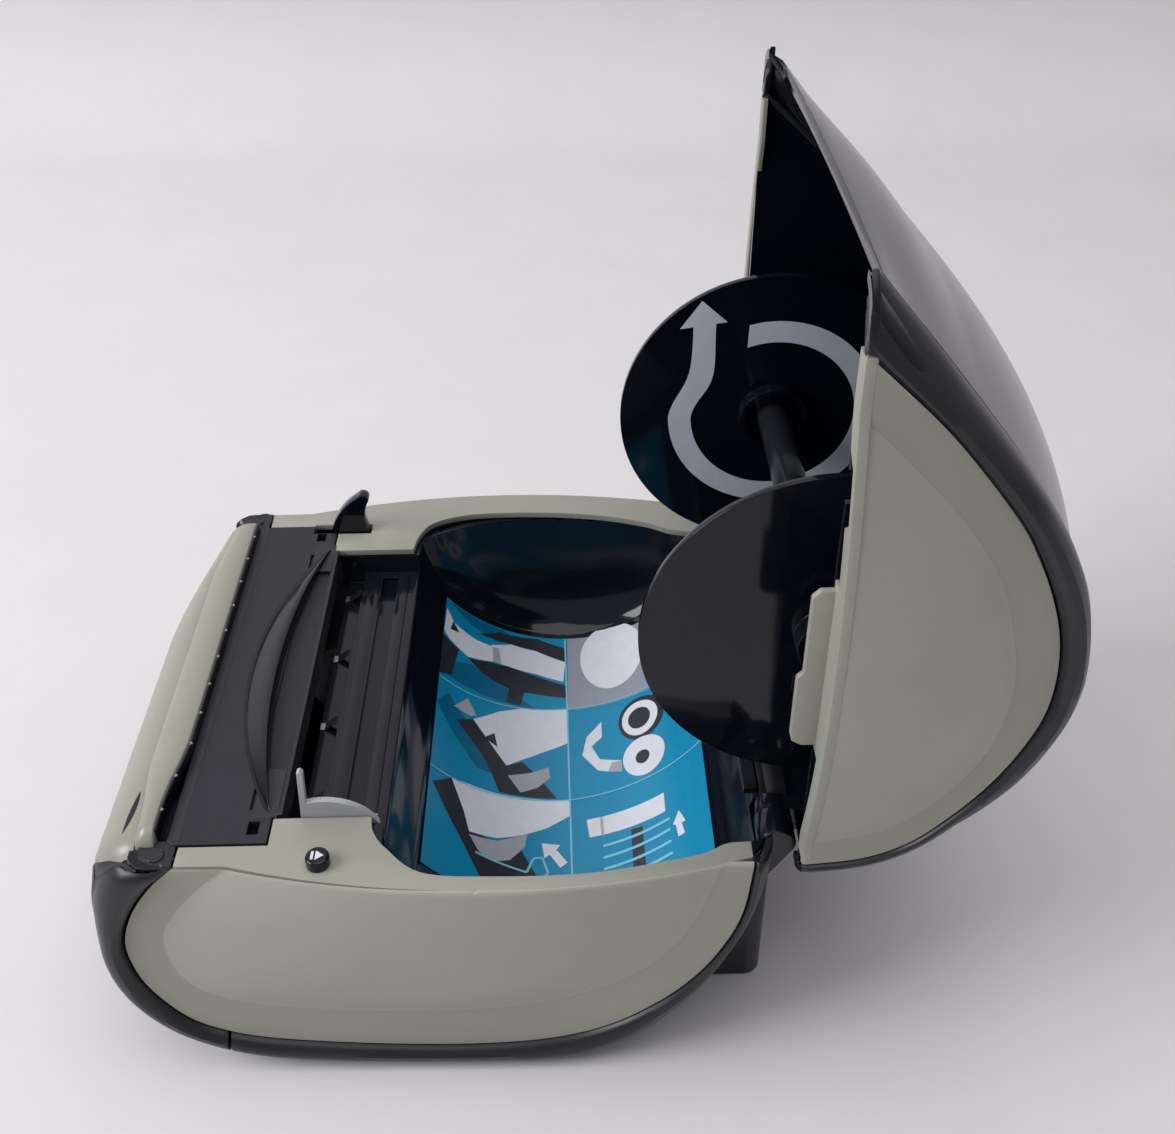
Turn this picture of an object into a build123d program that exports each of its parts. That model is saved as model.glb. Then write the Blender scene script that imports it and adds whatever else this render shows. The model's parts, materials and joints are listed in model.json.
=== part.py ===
"""Extra-wide desktop label maker with its cover open, as separate pieces.

Axes: +X is the machine's right-hand side, -Y its front, +Z up, and the floor is z = 0.
Shapes are drawn with z = 0 at the rim where the cover closes on the base. The cover and the
spool are drawn closed, then swung about the hinge. The last step lifts all of it onto the floor.
"""
import os
from math import cos, pi, radians, sin, sqrt

from build123d import *

os.makedirs("parts", exist_ok=True)

# ---------------------------------------------------------------- driving dimensions (mm)
RIM_HEIGHT = 79.0            # underside of the base to its rim
FOOT_PROUD = 0.8             # rubber feet below the underside
HALF_WIDTH = 79.5            # flat margin of the side panels
CORNER_R, CORNER_DROP = 9.5, 7.0   # rounding between the sides and the band, along X and inwards
WALL = 2.2                   # moulded wall
GAP = 0.4                    # seam between two mouldings
TURN_FIT, SLIDE_FIT = 0.05, 0.08   # radial clearance of running and sliding fits
DOME_R = 222.0               # radius of the bulged field on each side panel
DOME_Y = -18.0               # its centre along the machine
DOME_TOP = 87.6              # furthest reach of the bulge from the middle
CROWN = 9.5                  # rise of the top shell over the band at the middle
CROWN_HALF = 66.0            # half width of the top shell

HINGE_Y, HINGE_Z = 54.0, -4.0
OPEN_ANGLE = -90.0           # about +X, from closed to open
PIN_R = 2.0

WELL_Y, WELL_Z, WELL_R = -1.5, 8.0, 52.0      # roll well, same axis as the closed spool
WELL_LEFT, WELL_RIGHT = -58.0, 80.6
BOWL_DEPTH = 18.0            # the well's left end bulges out this far
DISK_R, DISK_T = 48.7, 2.0
DISK_LEFT, DISK_RIGHT = -58.0, 48.0           # left faces of the two spool disks
SHAFT_R = 5.0
STUB_R = 3.5

SLOT_LEFT, SLOT_RIGHT = -55.5, 61.4           # feed slot across the machine
SLOT_FRONT, RAMP_FRONT, RAMP_BACK = -78.0, -68.0, -51.0
RAMP_Z, TROUGH_Z = -10.0, -14.0
EXIT_FRONT, EXIT_BACK = -108.0, -104.0        # slit where the label comes out
BAR_HALF, BAR_FLAT_HALF = 70.4, 62.0   # half length of the tear bar, and of its level top
BAR_TOP = 3.95
PLATE_BACK = -78.0

ROLLER_Y, ROLLER_Z, ROLLER_R, ROLLER_SHAFT_R = -99.0, -17.5, 7.0, 2.5
ROLLER_LEFT, ROLLER_RIGHT = -56.0, 60.0
GEAR_MODULE = 0.8
ROLLER_TEETH, IDLER_TEETH, PINION_TEETH = 24, 30, 12
GEAR_X, GEAR_T = -68.0, 4.0

LEVER_X, LEVER_T = -67.6, 4.0
LEVER_Y, LEVER_Z = -74.0, -9.0
GUIDE_X, GUIDE_T = 59.2, 1.8
BUTTON_X, BUTTON_Y, BUTTON_R = 76.6, -66.0, 3.15
FEED_X, FEED_Y, FEED_Z, FEED_R = 14.0, -122.8, -12.0, 3.2

HEAD_Y, HEAD_Z, HEAD_PIN_R = -86.0, -8.6, 1.5
BEARING_R = 4.6
IDLER_PIN_R, MOTOR_SHAFT_R = 1.5, 1.5
IDLER_ANGLE, PINION_ANGLE = -60.0, -30.0      # direction from each gear to the next
IDLER_REACH = GEAR_MODULE * (ROLLER_TEETH + IDLER_TEETH) / 2
PINION_REACH = GEAR_MODULE * (IDLER_TEETH + PINION_TEETH) / 2
IDLER_Y = ROLLER_Y + IDLER_REACH * cos(radians(IDLER_ANGLE))
IDLER_Z = ROLLER_Z + IDLER_REACH * sin(radians(IDLER_ANGLE))
PINION_Y = IDLER_Y + PINION_REACH * cos(radians(PINION_ANGLE))
PINION_Z = IDLER_Z + PINION_REACH * sin(radians(PINION_ANGLE))
COVER_DOME_SQUASH = 0.76
RIM_LIP = 9.0                # inward lip along the rim of the cover's side panels

SCREW_SPOTS = [(x, y) for x in (-50, 50) for y in (-56, -8)]
FOOT_SPOTS = [(-52, -60), (52, -60), (-46, 44), (46, 44)]
FOOT_R = 6.0

BASE_OUTLINE = [
    (-119, 0), (-125.8, -11), (-129.8, -26), (-129.0, -42), (-122.3, -57), (-109.5, -69),
    (-91, -76.6), (-66, -79),
]
BASE_OUTLINE_REAR = [(-4, -79), (16, -72.7), (30, -60), (40.2, -46), (48, -29), (52, -12), (53, 0)]
COVER_OUTLINE = [
    (-115.5, 0.6), (-106.5, 7.4), (-88.5, 22.5), (-65, 41.2), (-47.6, 52.6), (-32, 59.2),
    (-14, 62.2), (6, 61.6), (29, 54.6), (47.5, 40.5), (58, 22.6), (61.2, 0.6),
]
PANEL_OUTLINE = [
    (-104, 0), (-114.8, -13), (-119.8, -26), (-117.2, -40), (-107, -56), (-89.5, -65.2),
    (-63, -69), (-24, -70.6), (2.4, -66), (28, -44), (43, -17), (46.6, 0),
]
COVER_PANEL_OUTLINE = [
    (-103.5, 0.6), (-83, 16.3), (-71, 26), (-55.5, 37), (-39, 46), (-22, 52.4), (-8, 54.4),
    (6.3, 53.4), (20, 48.6), (33, 38.8), (42.6, 24.9), (48, 10), (49.5, 0.6),
]
RIM_INNER_RIGHT = [(61.4, -54), (66.5, -53), (72, -49.2), (80.2, -39.3), (82, -20.6), (81.7, 2.8),
                   (79.2, 19.6), (76.3, 33.5), (73.2, 40), (72.6, 47)]
RIM_INNER_LEFT = [(-55.5, -52.8), (-64, -51), (-70.8, -46), (-75, -33), (-75.4, -9.8), (-73, 11.3),
                  (-68.5, 27), (-64, 36), (-62, 47)]

parts = {}


# ---------------------------------------------------------------- helpers
def block(x0, x1, y0, y1, z0, z1):
    """Box between two corners."""
    size = (x1 - x0, y1 - y0, z1 - z0)
    return Pos((x0 + x1) / 2, (y0 + y1) / 2, (z0 + z1) / 2) * Box(*size)


def rod_x(x0, x1, y, z, r):
    """Cylinder along X."""
    return Pos((x0 + x1) / 2, y, z) * Rot(0, 90, 0) * Cylinder(r, x1 - x0)


def rod_z(x, y, z0, z1, r):
    """Cylinder along Z."""
    return Pos(x, y, (z0 + z1) / 2) * Cylinder(r, z1 - z0)


def side_face(edges, x):
    """Closed face in the plane at x, from edges drawn with (y, z) points."""
    return make_face(Plane(origin=(x, 0, 0), x_dir=(0, 1, 0), z_dir=(1, 0, 0)) * edges)


def side_prism(edges, x0, x1):
    """Solid between x0 and x1 with a side outline given by edges in (y, z)."""
    return extrude(side_face(edges, x0), x1 - x0, dir=(1, 0, 0))


def plan_prism(edges, z0, z1):
    """Solid between z0 and z1 with a plan outline given by edges in (x, y)."""
    return extrude(Pos(0, 0, z0) * make_face(edges), z1 - z0, dir=(0, 0, 1))


def shrink(points, inset, y_mid, height):
    """Side outline drawn in towards the rim's middle by about inset; the rim stays at its level."""
    half = (points[-1][0] - points[0][0]) / 2
    return [(y_mid + (y - y_mid) * (1 - inset / half), z * (1 - inset / height)) for y, z in points]


def base_edges(inset):
    """Closed side outline of the base: curved front, flat bottom, curved rear, flat top."""
    whole = shrink(BASE_OUTLINE + BASE_OUTLINE_REAR, inset, -38.0, RIM_HEIGHT)
    front = whole[: len(BASE_OUTLINE)]
    rear = whole[len(BASE_OUTLINE):]
    return (
        Spline(front, tangents=[(-0.45, -1), (1, 0)])
        + Line(front[-1], rear[0])
        + Spline(rear, tangents=[(1, 0), (0, 1)])
        + Line(rear[-1], front[0])
    )


def crown_at(x, y):
    """Rise of the top shell over the band; it fades out at the front edge."""
    across = max(0.0, 1 - (x / CROWN_HALF) ** 2)
    along = min(1.0, max(0.0, (y + 112) / 26))
    return CROWN * across * along * (2 - along)


def cover_edges(x, inset):
    """Closed side outline of the closed cover at the distance x from the middle."""
    points = []
    for y, z in COVER_OUTLINE:
        reach = sqrt((y + 20) ** 2 + (z - 8) ** 2)
        rise = crown_at(x, y) * min(1.0, max(0.0, (50 - y) / 60)) ** 0.5
        up = max(0.35, (z - 8) / reach)
        points.append((y + (y + 20) / reach * rise * 0.5, z + up * rise))
    points = shrink(points, inset, -27.0, 64.0)
    points = [(y, max(z, 0.6)) for y, z in points]
    return Spline(points) + Line(points[-1], points[0])


def edge_inset(x):
    """How far the outline is drawn in near the sides, a quarter of an ellipse."""
    over = (abs(x) - (HALF_WIDTH - CORNER_R)) / CORNER_R
    return 0.0 if over <= 0 else CORNER_DROP * (1 - sqrt(max(0.0, 1 - over**2)))


def hull(edges_at, side, inset):
    """Filled casing: straight-ruled through side outlines from one side to the other."""
    steps = [side, side - 0.6, side - 2.2, side - 4.6, side - 8, CROWN_HALF, 55, 42, 28, 14, 0]
    stations = [-s for s in steps] + steps[-2::-1]
    faces = [side_face(edges_at(x, inset + edge_inset(x / side * HALF_WIDTH)), x) for x in stations]
    return loft(faces, ruled=True)


def dome(sign, radius, squash):
    """Ball that gives each side panel its bulged field."""
    ball = scale(Sphere(radius), by=(1, 1, squash))
    return Pos(sign * (DOME_TOP - DOME_R), DOME_Y, 0) * ball


def lever_path():
    """Slit that the release lever swings in."""
    return block(LEVER_X - LEVER_T / 2 - 0.6, LEVER_X + LEVER_T / 2 + 0.6, -88, -67.5, -6, 2)


def mirror_x(shape):
    return mirror(shape, about=Plane.YZ)


def gear(teeth, x, y, z, thickness, bore, turn=0.0):
    """Spur gear on an axis along X, teeth as short trapezia that mesh with clearance."""
    pitch_r = teeth * GEAR_MODULE / 2
    root, tip = pitch_r - 1.25 * GEAR_MODULE, pitch_r + 0.9 * GEAR_MODULE
    step = 2 * pi / teeth
    outline = []
    for i in range(teeth):
        for at, r in ((-0.29, root), (-0.11, tip), (0.11, tip), (0.29, root)):
            a = (i + at) * step + radians(turn)
            outline.append((y + r * cos(a), z + r * sin(a)))
    body = side_prism(Polyline(*outline, close=True), x, x + thickness)
    return body - rod_x(x - 1, x + thickness + 1, y, z, bore)


# ---------------------------------------------------------------- base: outer skins
base_hull = hull(lambda x, inset: base_edges(inset), HALF_WIDTH, 0)
base_inner = hull(lambda x, inset: base_edges(inset), HALF_WIDTH - WALL, WALL)

panel_edges = Spline(PANEL_OUTLINE) + Line(PANEL_OUTLINE[-1], PANEL_OUTLINE[0])
grow = [(-38 + (y + 38) * 1.008, z * 1.008 + 0.2) for y, z in PANEL_OUTLINE]
groove_edges = Spline(grow) + Line(grow[-1], grow[0])
panel_prism = side_prism(panel_edges, 60, 95)
groove_prism = side_prism(groove_edges, 60, 95)
groove_both = groove_prism + mirror_x(groove_prism)

base_shell = base_hull - base_inner
rim_right = (
    Line((SLOT_RIGHT, -80.1), (SLOT_RIGHT, -54))
    + Spline(RIM_INNER_RIGHT)
    + Polyline(RIM_INNER_RIGHT[-1], (95, 47), (95, -103.4), (70.4, -103.4), (70.4, -80.1),
               (SLOT_RIGHT, -80.1))
)
rim_left = (
    Line((-55.5, -79.5), (-55.5, -52.8))
    + Spline(RIM_INNER_LEFT)
    + Polyline(RIM_INNER_LEFT[-1], (-95, 47), (-95, -103.4), (-69.4, -103.4), (-69.4, -79.5),
               (-55.5, -79.5))
)
barrel_right = dome(1, DOME_R, 1.0)
barrel_left = dome(-1, DOME_R, 1.0)
below_rim = block(-95, 95, -140, 80, -90, 0)
above_step = block(-95, 95, -104, 47, -RIM_HEIGHT, 0)


def base_panel(sign, rim_edges, ball):
    """Side wall with its bulged field, and the flat rim that lies on top of the base."""
    prism = panel_prism if sign > 0 else mirror_x(panel_prism)
    margin = block(*sorted((sign * (HALF_WIDTH - WALL), sign * HALF_WIDTH)), -130, 60, -80, 0) & prism
    margin = margin - dome(sign, DOME_R - WALL, 1.0)
    hollow = dome(sign, DOME_R - WALL, 1.0)
    beyond = block(*sorted((sign * (HALF_WIDTH - WALL), sign * 95)), -130, 60, -80, 0)
    field = (ball - hollow) & beyond & prism
    rim = plan_prism(rim_edges, -WALL, 0)
    reach = side_prism(panel_edges, 0, 95) if sign > 0 else mirror_x(side_prism(panel_edges, 0, 95))
    bound = block(-HALF_WIDTH, HALF_WIDTH, -130, 60, -80, 0) + (ball & above_step)
    rim = rim & bound & reach
    return (margin + field + rim) & below_rim


button_bore = rod_z(BUTTON_X, BUTTON_Y, -6, 1, BUTTON_R + SLIDE_FIT)
parts["right_side_panel"] = base_panel(1, rim_right, barrel_right) - button_bore
parts["left_side_panel"] = base_panel(-1, rim_left, barrel_left) - lever_path()

band = base_shell - groove_both
bezel_room = block(-78, 78, -140, -103.8, -27, 1)
SEAM_Y = -98.0
front_zone = block(-95, 95, -140, SEAM_Y - GAP / 2, -90, 1)
rear_zone = block(-95, 95, SEAM_Y + GAP / 2, 80, -90, 1)
top_gap = block(-95, 95, -140, 80, -0.5, 2)
parts["front_lower_cover"] = (band & front_zone) - bezel_room - top_gap
hinge_notches = block(-72, -54, 44, 62, -14, 2) + block(54, 72, 44, 62, -14, 2)
parts["bottom_cover"] = (band & rear_zone) - hinge_notches


# ---------------------------------------------------------------- base: front
def front_bezel():
    """Putty strip round the front edge, under the tear bar, with a hole for the feed button."""
    outer = base_hull & block(-76, 76, -140, -112.4, -26.6, -0.6)
    inner = hull(lambda x, inset: base_edges(inset), HALF_WIDTH - 2.6, 2.6)
    strip = outer - (inner & block(-95, 95, -140, -100, -26.6, -3.0))
    slit = block(38, 66, -140, -112, -6.4, -4.4)
    hole = Pos(FEED_X, FEED_Y, FEED_Z) * Rot(90, 0, 0) * Cylinder(FEED_R + SLIDE_FIT, 30)
    return strip - slit - hole - groove_both


def bar_front_view(clear):
    """Front outline of the raised bar, ends rolled down, grown by clear, run along the machine."""
    top, low = BAR_TOP + clear, -0.6 if clear == 0 else -3.0
    half, full = BAR_FLAT_HALF + clear / 2, BAR_HALF + clear
    plane = Plane(origin=(0, -96, 0), x_dir=(1, 0, 0), z_dir=(0, -1, 0))
    right = ThreePointArc((half, top), (half + 0.72 * (full - half), 0.32 * low + 0.68 * top), (full, low))
    left = ThreePointArc((-full, low), (-half - 0.72 * (full - half), 0.32 * low + 0.68 * top),
                         (-half, top))
    edges = Line((-half, top), (half, top)) + right
    if clear == 0:
        edges = edges + Polyline((full, low), (full, -4), (-full, -4), (-full, low))
    else:
        edges = edges + Line((full, low), (-full, low))
    return extrude(make_face(plane * (edges + left)), 30, dir=(0, -1, 0))


def tear_bar():
    """Raised bar in front of the label slit, with small teeth along its rear edge."""
    profile = (
        Line((EXIT_FRONT, -2.9), (EXIT_FRONT, 2.6))
        + ThreePointArc((EXIT_FRONT, 2.6), (-109.4, 3.6), (-111.2, 3.9))
        + ThreePointArc((-111.2, 3.9), (-115.2, 2.9), (-118.0, -0.3))
        + Line((-118.0, -0.3), (-114, -0.5))
        + Line((-114, -0.5), (-112, -2.9))
        + Line((-112, -2.9), (EXIT_FRONT, -2.9))
    )
    bar = side_prism(profile, -BAR_HALF, BAR_HALF) & bar_front_view(0)
    tooth = Polyline((-1.3, EXIT_FRONT - 0.2), (1.3, EXIT_FRONT - 0.2), (0, EXIT_FRONT + 1.2), close=True)
    one = plan_prism(tooth, 1.2, 2.3)
    return bar + [Pos(x, 0, 0) * one for x in range(-60, 61, 12)]


def deck_frame():
    """Black frame under the deck: corner plates, slit surround and the floor of the feed slot."""
    deck = block(-76, 76, -112.2, -104, -5.2, -3.2) + block(-76, 76, -104, RAMP_BACK, -5.2, -2.6)
    deck = deck & base_inner
    corner = block(70.9, 78, -116, -104, -5.2, -0.2) & base_inner
    deck = deck + corner + mirror_x(corner)
    exit_slit = block(-64, 64, EXIT_FRONT + 0.2, EXIT_BACK - 0.1, -8, 1)
    slot = block(SLOT_LEFT, SLOT_RIGHT, SLOT_FRONT - 1.2, RAMP_BACK, -8, 1)
    button_hole = rod_z(BUTTON_X, BUTTON_Y, -8, 1, BUTTON_R + 1)
    ramp = block(SLOT_LEFT, SLOT_RIGHT, RAMP_FRONT, RAMP_BACK, RAMP_Z - 2.4, RAMP_Z)
    trough = block(SLOT_LEFT, SLOT_RIGHT, SLOT_FRONT + 2, RAMP_FRONT, TROUGH_Z - 2, TROUGH_Z)
    riser = block(SLOT_LEFT, SLOT_RIGHT, RAMP_FRONT - 2, RAMP_FRONT, TROUGH_Z - 2, RAMP_Z)
    track = block(SLOT_LEFT + 3, SLOT_RIGHT, -63.6, -58.4, RAMP_Z - 1.6, RAMP_Z + 1)
    left_wall = block(SLOT_LEFT - 2, SLOT_LEFT, SLOT_FRONT, RAMP_BACK, TROUGH_Z - 2, -2.6)
    right_wall = block(SLOT_RIGHT, SLOT_RIGHT + 2, SLOT_FRONT, RAMP_BACK, TROUGH_Z - 2, -2.6)
    deck = deck - exit_slit - slot - lever_path() - button_hole
    deck = deck + (ramp - track) + trough + riser + left_wall + right_wall
    return deck - head_space() - parts["tear_bar"]


def head_space():
    """Room under the deck for the print head and the roller."""
    return block(-57.6, 62.4, -112, -81, -40, -5.3)


def printhead_cover():
    """Matte plate over the print head, with a lowered strip behind the finger grip."""
    outline = Polyline((-68.9, -103.6), (69.9, -103.6), (69.9, -80.6), (60.4, -80.6), (60.4, PLATE_BACK),
                       (-55.2, PLATE_BACK), (-55.2, -80.0), (-68.9, -80.0), close=True)
    plate = plan_prism(outline, -2.5, 0.3)
    hollow = block(-53, 58.5, -87, PLATE_BACK - 1.2, -0.9, 1)
    windows = [block(x - 2.2, x + 2.2, -86.4, -83.4, -3, 1) for x in (-62.7, 64.7)]
    lip = block(-55, 60.2, PLATE_BACK - 1.0, PLATE_BACK, -7.5, -2.5)
    return plate - hollow - windows + lip - lever_path()


def finger_grip():
    """Glossy crescent that stands up from the plate."""
    outer = ThreePointArc((59, -82), (2, -96), (-55, -81))
    inner = ThreePointArc((-55, -81), (2, -87.6), (59, -82))
    crescent = plan_prism(outer + inner, 0.3, 2.4)
    front_top = [e for e in crescent.edges() if e.center().Z > 2.3 and e.center().Y < -90]
    return chamfer(front_top, 1.9, 1.5) if front_top else crescent


parts["tear_bar"] = tear_bar()
parts["deck_frame"] = deck_frame()
parts["front_bezel"] = front_bezel() - parts["tear_bar"] - parts["deck_frame"]
parts["printhead_cover"] = printhead_cover()
parts["finger_grip"] = finger_grip()
parts["corner_bosses"] = Part() + [rod_z(x, -108.9, -0.2, 0.25, 2.3) for x in (-72.9, 72.9)]
parts["status_light"] = block(38.3, 65.7, -125, -116, -6.1, -4.7) & hull(
    lambda x, inset: base_edges(inset), HALF_WIDTH - 0.4, 0.4
)

# ---------------------------------------------------------------- roll well
def well_room(extra):
    """Space of the roll well: a drum with a bowl-shaped left end, widened by extra."""
    right, radius = WELL_RIGHT + extra, WELL_R + extra
    profile = (
        EllipticalCenterArc((WELL_LEFT, 0), BOWL_DEPTH + extra, radius, start_angle=90, arc_size=90)
        + Line((WELL_LEFT - BOWL_DEPTH - extra, 0), (right, 0))
        + Line((right, 0), (right, radius))
        + Line((right, radius), (WELL_LEFT, radius))
    )
    plane = Plane(origin=(0, WELL_Y, WELL_Z), x_dir=(1, 0, 0), z_dir=(0, -1, 0))
    turned = revolve(make_face(plane * profile), Axis((0, WELL_Y, WELL_Z), (1, 0, 0)), 360)
    return turned & block(-95, 95, -60, 80, -90, 0)


def roll_well():
    """Glossy tub that the label roll hangs in."""
    bulge = (dome(1, DOME_R - WALL - 0.3, 1.0) & block(60, 95, -103, 42, -74, 0))
    tub = (well_room(2.0) - well_room(0)) & (base_inner + bulge + mirror_x(bulge))
    tub = tub & block(-95, 95, RAMP_BACK, 80, -90, -2.6)
    hinge_room = rod_x(55.6, 71, HINGE_Y, HINGE_Z, 5.8)
    return tub - hinge_room - mirror_x(hinge_room)


def sticker():
    """Thin instruction sheet on the floor of the well."""
    skin = rod_x(-61, 58, WELL_Y, WELL_Z, WELL_R - 0.02) - rod_x(-62, 59, WELL_Y, WELL_Z, WELL_R - 0.22)
    return skin & block(-57.5, 58, -43, 40, -90, -5)


parts["roll_well"] = roll_well()
parts["instruction_sticker"] = sticker()

# ---------------------------------------------------------------- rear of the base
def rear_housing():
    """Rear foot that carries the two inlets; it stands behind the rounded base."""
    outer = block(-58, 58, 18, 56.5, -RIM_HEIGHT, -23)
    corners = [e for e in outer.edges().filter_by(Axis.Z) if e.center().Y > 50]
    outer = fillet(corners, 5)
    inner = block(-55.8, 55.8, 10, 54.3, -RIM_HEIGHT + 2, -25)
    box = outer - inner - base_hull
    power = block(-46, -34, 50, 60, -70, -58)
    data = block(-24, -10, 50, 60, -70, -58)
    return box - power - data


def power_inlet():
    """Round jack with its centre pin, in a square moulding."""
    body = block(-45.8, -34.2, 44, 56.5, -69.8, -58.2)
    bore = Pos(-40, 51, -64) * Rot(90, 0, 0) * Cylinder(3.2, 11.1)
    pin = Pos(-40, 50.2, -64) * Rot(90, 0, 0) * Cylinder(1.0, 10)
    return body - bore + pin


def data_inlet():
    """Square cable socket with its contact tongue."""
    body = block(-23.8, -10.2, 44, 56.5, -69.8, -58.2)
    mouth = block(-21.2, -12.8, 47, 57, -68, -60)
    tongue = block(-19.8, -14.2, 46.9, 55, -65.6, -62.4)
    return body - mouth + tongue


def knuckle(sign):
    """Hinge bracket: a ring round the pin on an arm from the rear wall."""
    x0, x1 = sorted((sign * 62.0, sign * 70.5))
    ring = rod_x(x0, x1, HINGE_Y, HINGE_Z, 5.2)
    arm = side_prism(
        Polyline((49.6, -2.6), (54, 1.0), (58.6, -6.4), (51.4, -18.5), (46.6, -18.5), close=True), x0, x1
    )
    return (ring + arm) - rod_x(x0 - 1, x1 + 1, HINGE_Y, HINGE_Z, PIN_R)


def hinge_pins():
    return Part() + [rod_x(*sorted((s * 56.0, s * 70.0)), HINGE_Y, HINGE_Z, PIN_R) for s in (-1, 1)]


def rear_deck():
    """Top of the base behind the well, inside the hinge line."""
    deck = block(-76, 76, 46.9, 60, -2.6, -0.4) & base_inner
    notches = block(-72, -54, 44, 62, -14, 2) + block(54, 72, 44, 62, -14, 2)
    return deck - notches


parts["rear_housing"] = rear_housing()
parts["power_inlet"] = power_inlet()
parts["data_inlet"] = data_inlet()
parts["hinge_brackets"] = Part() + [knuckle(1), knuckle(-1)]
for name in ("bottom_cover", "left_side_panel", "right_side_panel", "roll_well"):
    parts[name] = parts[name] - parts["hinge_brackets"]
parts["hinge_pins"] = hinge_pins()
parts["rear_deck"] = rear_deck()

# ---------------------------------------------------------------- inside the base
def chassis_plate():
    """Floor plate on four ribs, with bosses for the board screws."""
    plate = block(-66, 66, -84, -6, -74.4, -72.4)
    ribs = [block(x - 3, x + 3, -60, -10, -76.7, -74.4) for x in (-58, -20, 20, 58)]
    bosses = [rod_z(x, y, -72.4, -66.0, 2.6) for x, y in SCREW_SPOTS]
    holes = [rod_z(x, y, -73, -60, 1.25) for x, y in SCREW_SPOTS]
    return plate + ribs + bosses - holes


def main_board():
    board = block(-56, 56, -60, -4, -66.0, -64.4)
    return board - [rod_z(x, y, -67, -60, 1.5) for x, y in SCREW_SPOTS]


def board_screws():
    """Pan-head screws that hold the board to its bosses."""
    heads = [rod_z(x, y, -64.4, -62.8, 2.6) for x, y in SCREW_SPOTS]
    shanks = [rod_z(x, y, -71.5, -64.4, 1.25) for x, y in SCREW_SPOTS]
    slots = [block(x - 2.1, x + 2.1, y - 0.3, y + 0.3, -63.4, -62) for x, y in SCREW_SPOTS]
    return Part() + heads + shanks - slots


parts["chassis_plate"] = chassis_plate()
parts["main_board"] = main_board()
parts["board_screws"] = board_screws()
parts["board_parts"] = Part() + [
    block(-20, -6, -40, -26, -64.4, -62.2),
    block(10, 20, -46, -38, -64.4, -62.8),
    block(-46, -30, -20, -10, -64.4, -56.0),
    rod_z(30, -20, -64.4, -54.4, 5.0),
    rod_z(42, -34, -64.4, -56.4, 4.0),
]


def mechanism_frame():
    """Two side plates and a cross beam that hold the roller, the gears and the print head."""
    left = side_prism(
        Polyline((-112, -24), (-112, -7), (-80, -7), (-58, -30), (-58, -64), (-64, -72.4),
                 (-84, -72.4), (-96, -50), close=True), -60.2, -58.2
    )
    right = side_prism(
        Polyline((-112, -26), (-112, -7), (-81, -7), (-81, -72.4), (-84, -72.4), (-90, -34), close=True),
        62.6, 64.6
    )
    beam = block(-58.2, 62.6, -84, -81, -72.4, -63)
    frame = left + right + beam
    frame = frame - rod_x(-65, 66, ROLLER_Y, ROLLER_Z, BEARING_R)
    frame = frame - rod_x(-65, 66, HEAD_Y, HEAD_Z, HEAD_PIN_R + TURN_FIT)
    frame = frame - rod_x(-65, -55, PINION_Y, PINION_Z, 5.8)
    idler_pin = rod_x(-69, -60.2, IDLER_Y, IDLER_Z, IDLER_PIN_R)
    lever_pin = rod_x(-70, -60.2, LEVER_Y, LEVER_Z, IDLER_PIN_R)
    lever_tab = block(-62.2, -60.2, LEVER_Y - 4, LEVER_Y + 4, LEVER_Z - 7, LEVER_Z + 3.4)
    return frame + idler_pin + lever_pin + lever_tab


def bearings():
    """Two flanged bushes for the roller shaft."""
    bushes = [rod_x(x, x + 3.0, ROLLER_Y, ROLLER_Z, BEARING_R) for x in (-60.2, 61.6)]
    flanges = [rod_x(x, x + 1.0, ROLLER_Y, ROLLER_Z, 6.2) for x in (-58.2, 61.6)]
    return Part() + bushes + flanges - rod_x(-70, 70, ROLLER_Y, ROLLER_Z, ROLLER_SHAFT_R + TURN_FIT)


def stepper_motor():
    """Flat round motor behind the left side plate."""
    can = rod_x(-58.2, -38, PINION_Y, PINION_Z, 17.5)
    ears = block(-58.2, -56.6, PINION_Y - 23, PINION_Y + 23, PINION_Z - 5, PINION_Z + 5)
    boss = rod_x(-60.2, -58.2, PINION_Y, PINION_Z, 5.5)
    return can + ears + boss - rod_x(-62, -46, PINION_Y, PINION_Z, MOTOR_SHAFT_R + TURN_FIT)


def switch_board():
    """Small board with the two push switches' bodies."""
    board = block(70, 78, -73, -59, -13, -11.6)
    return board + block(74, 79, -69, -63, -11.6, -10.2)


parts["mechanism_frame"] = mechanism_frame()
parts["roller_bearings"] = bearings()
parts["stepper_motor"] = stepper_motor()
parts["switch_board"] = switch_board()
parts["rubber_feet"] = Part() + [
    rod_z(x, y, -RIM_HEIGHT - FOOT_PROUD, -RIM_HEIGHT, FOOT_R) for x, y in FOOT_SPOTS
]

# ---------------------------------------------------------------- moving pieces of the base
def gear_train():
    """Roller gear, idler and motor pinion, in mesh down the left side."""
    first = IDLER_ANGLE
    roller_gear = gear(ROLLER_TEETH, GEAR_X, ROLLER_Y, ROLLER_Z, GEAR_T, ROLLER_SHAFT_R, first)
    idler = gear(IDLER_TEETH, GEAR_X, IDLER_Y, IDLER_Z, GEAR_T, IDLER_PIN_R + TURN_FIT,
                 first + 180 + 180 / IDLER_TEETH)
    pinion = gear(PINION_TEETH, GEAR_X, PINION_Y, PINION_Z, GEAR_T, MOTOR_SHAFT_R,
                  PINION_ANGLE + 180 + 180 / PINION_TEETH)
    return roller_gear, idler, pinion


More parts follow.
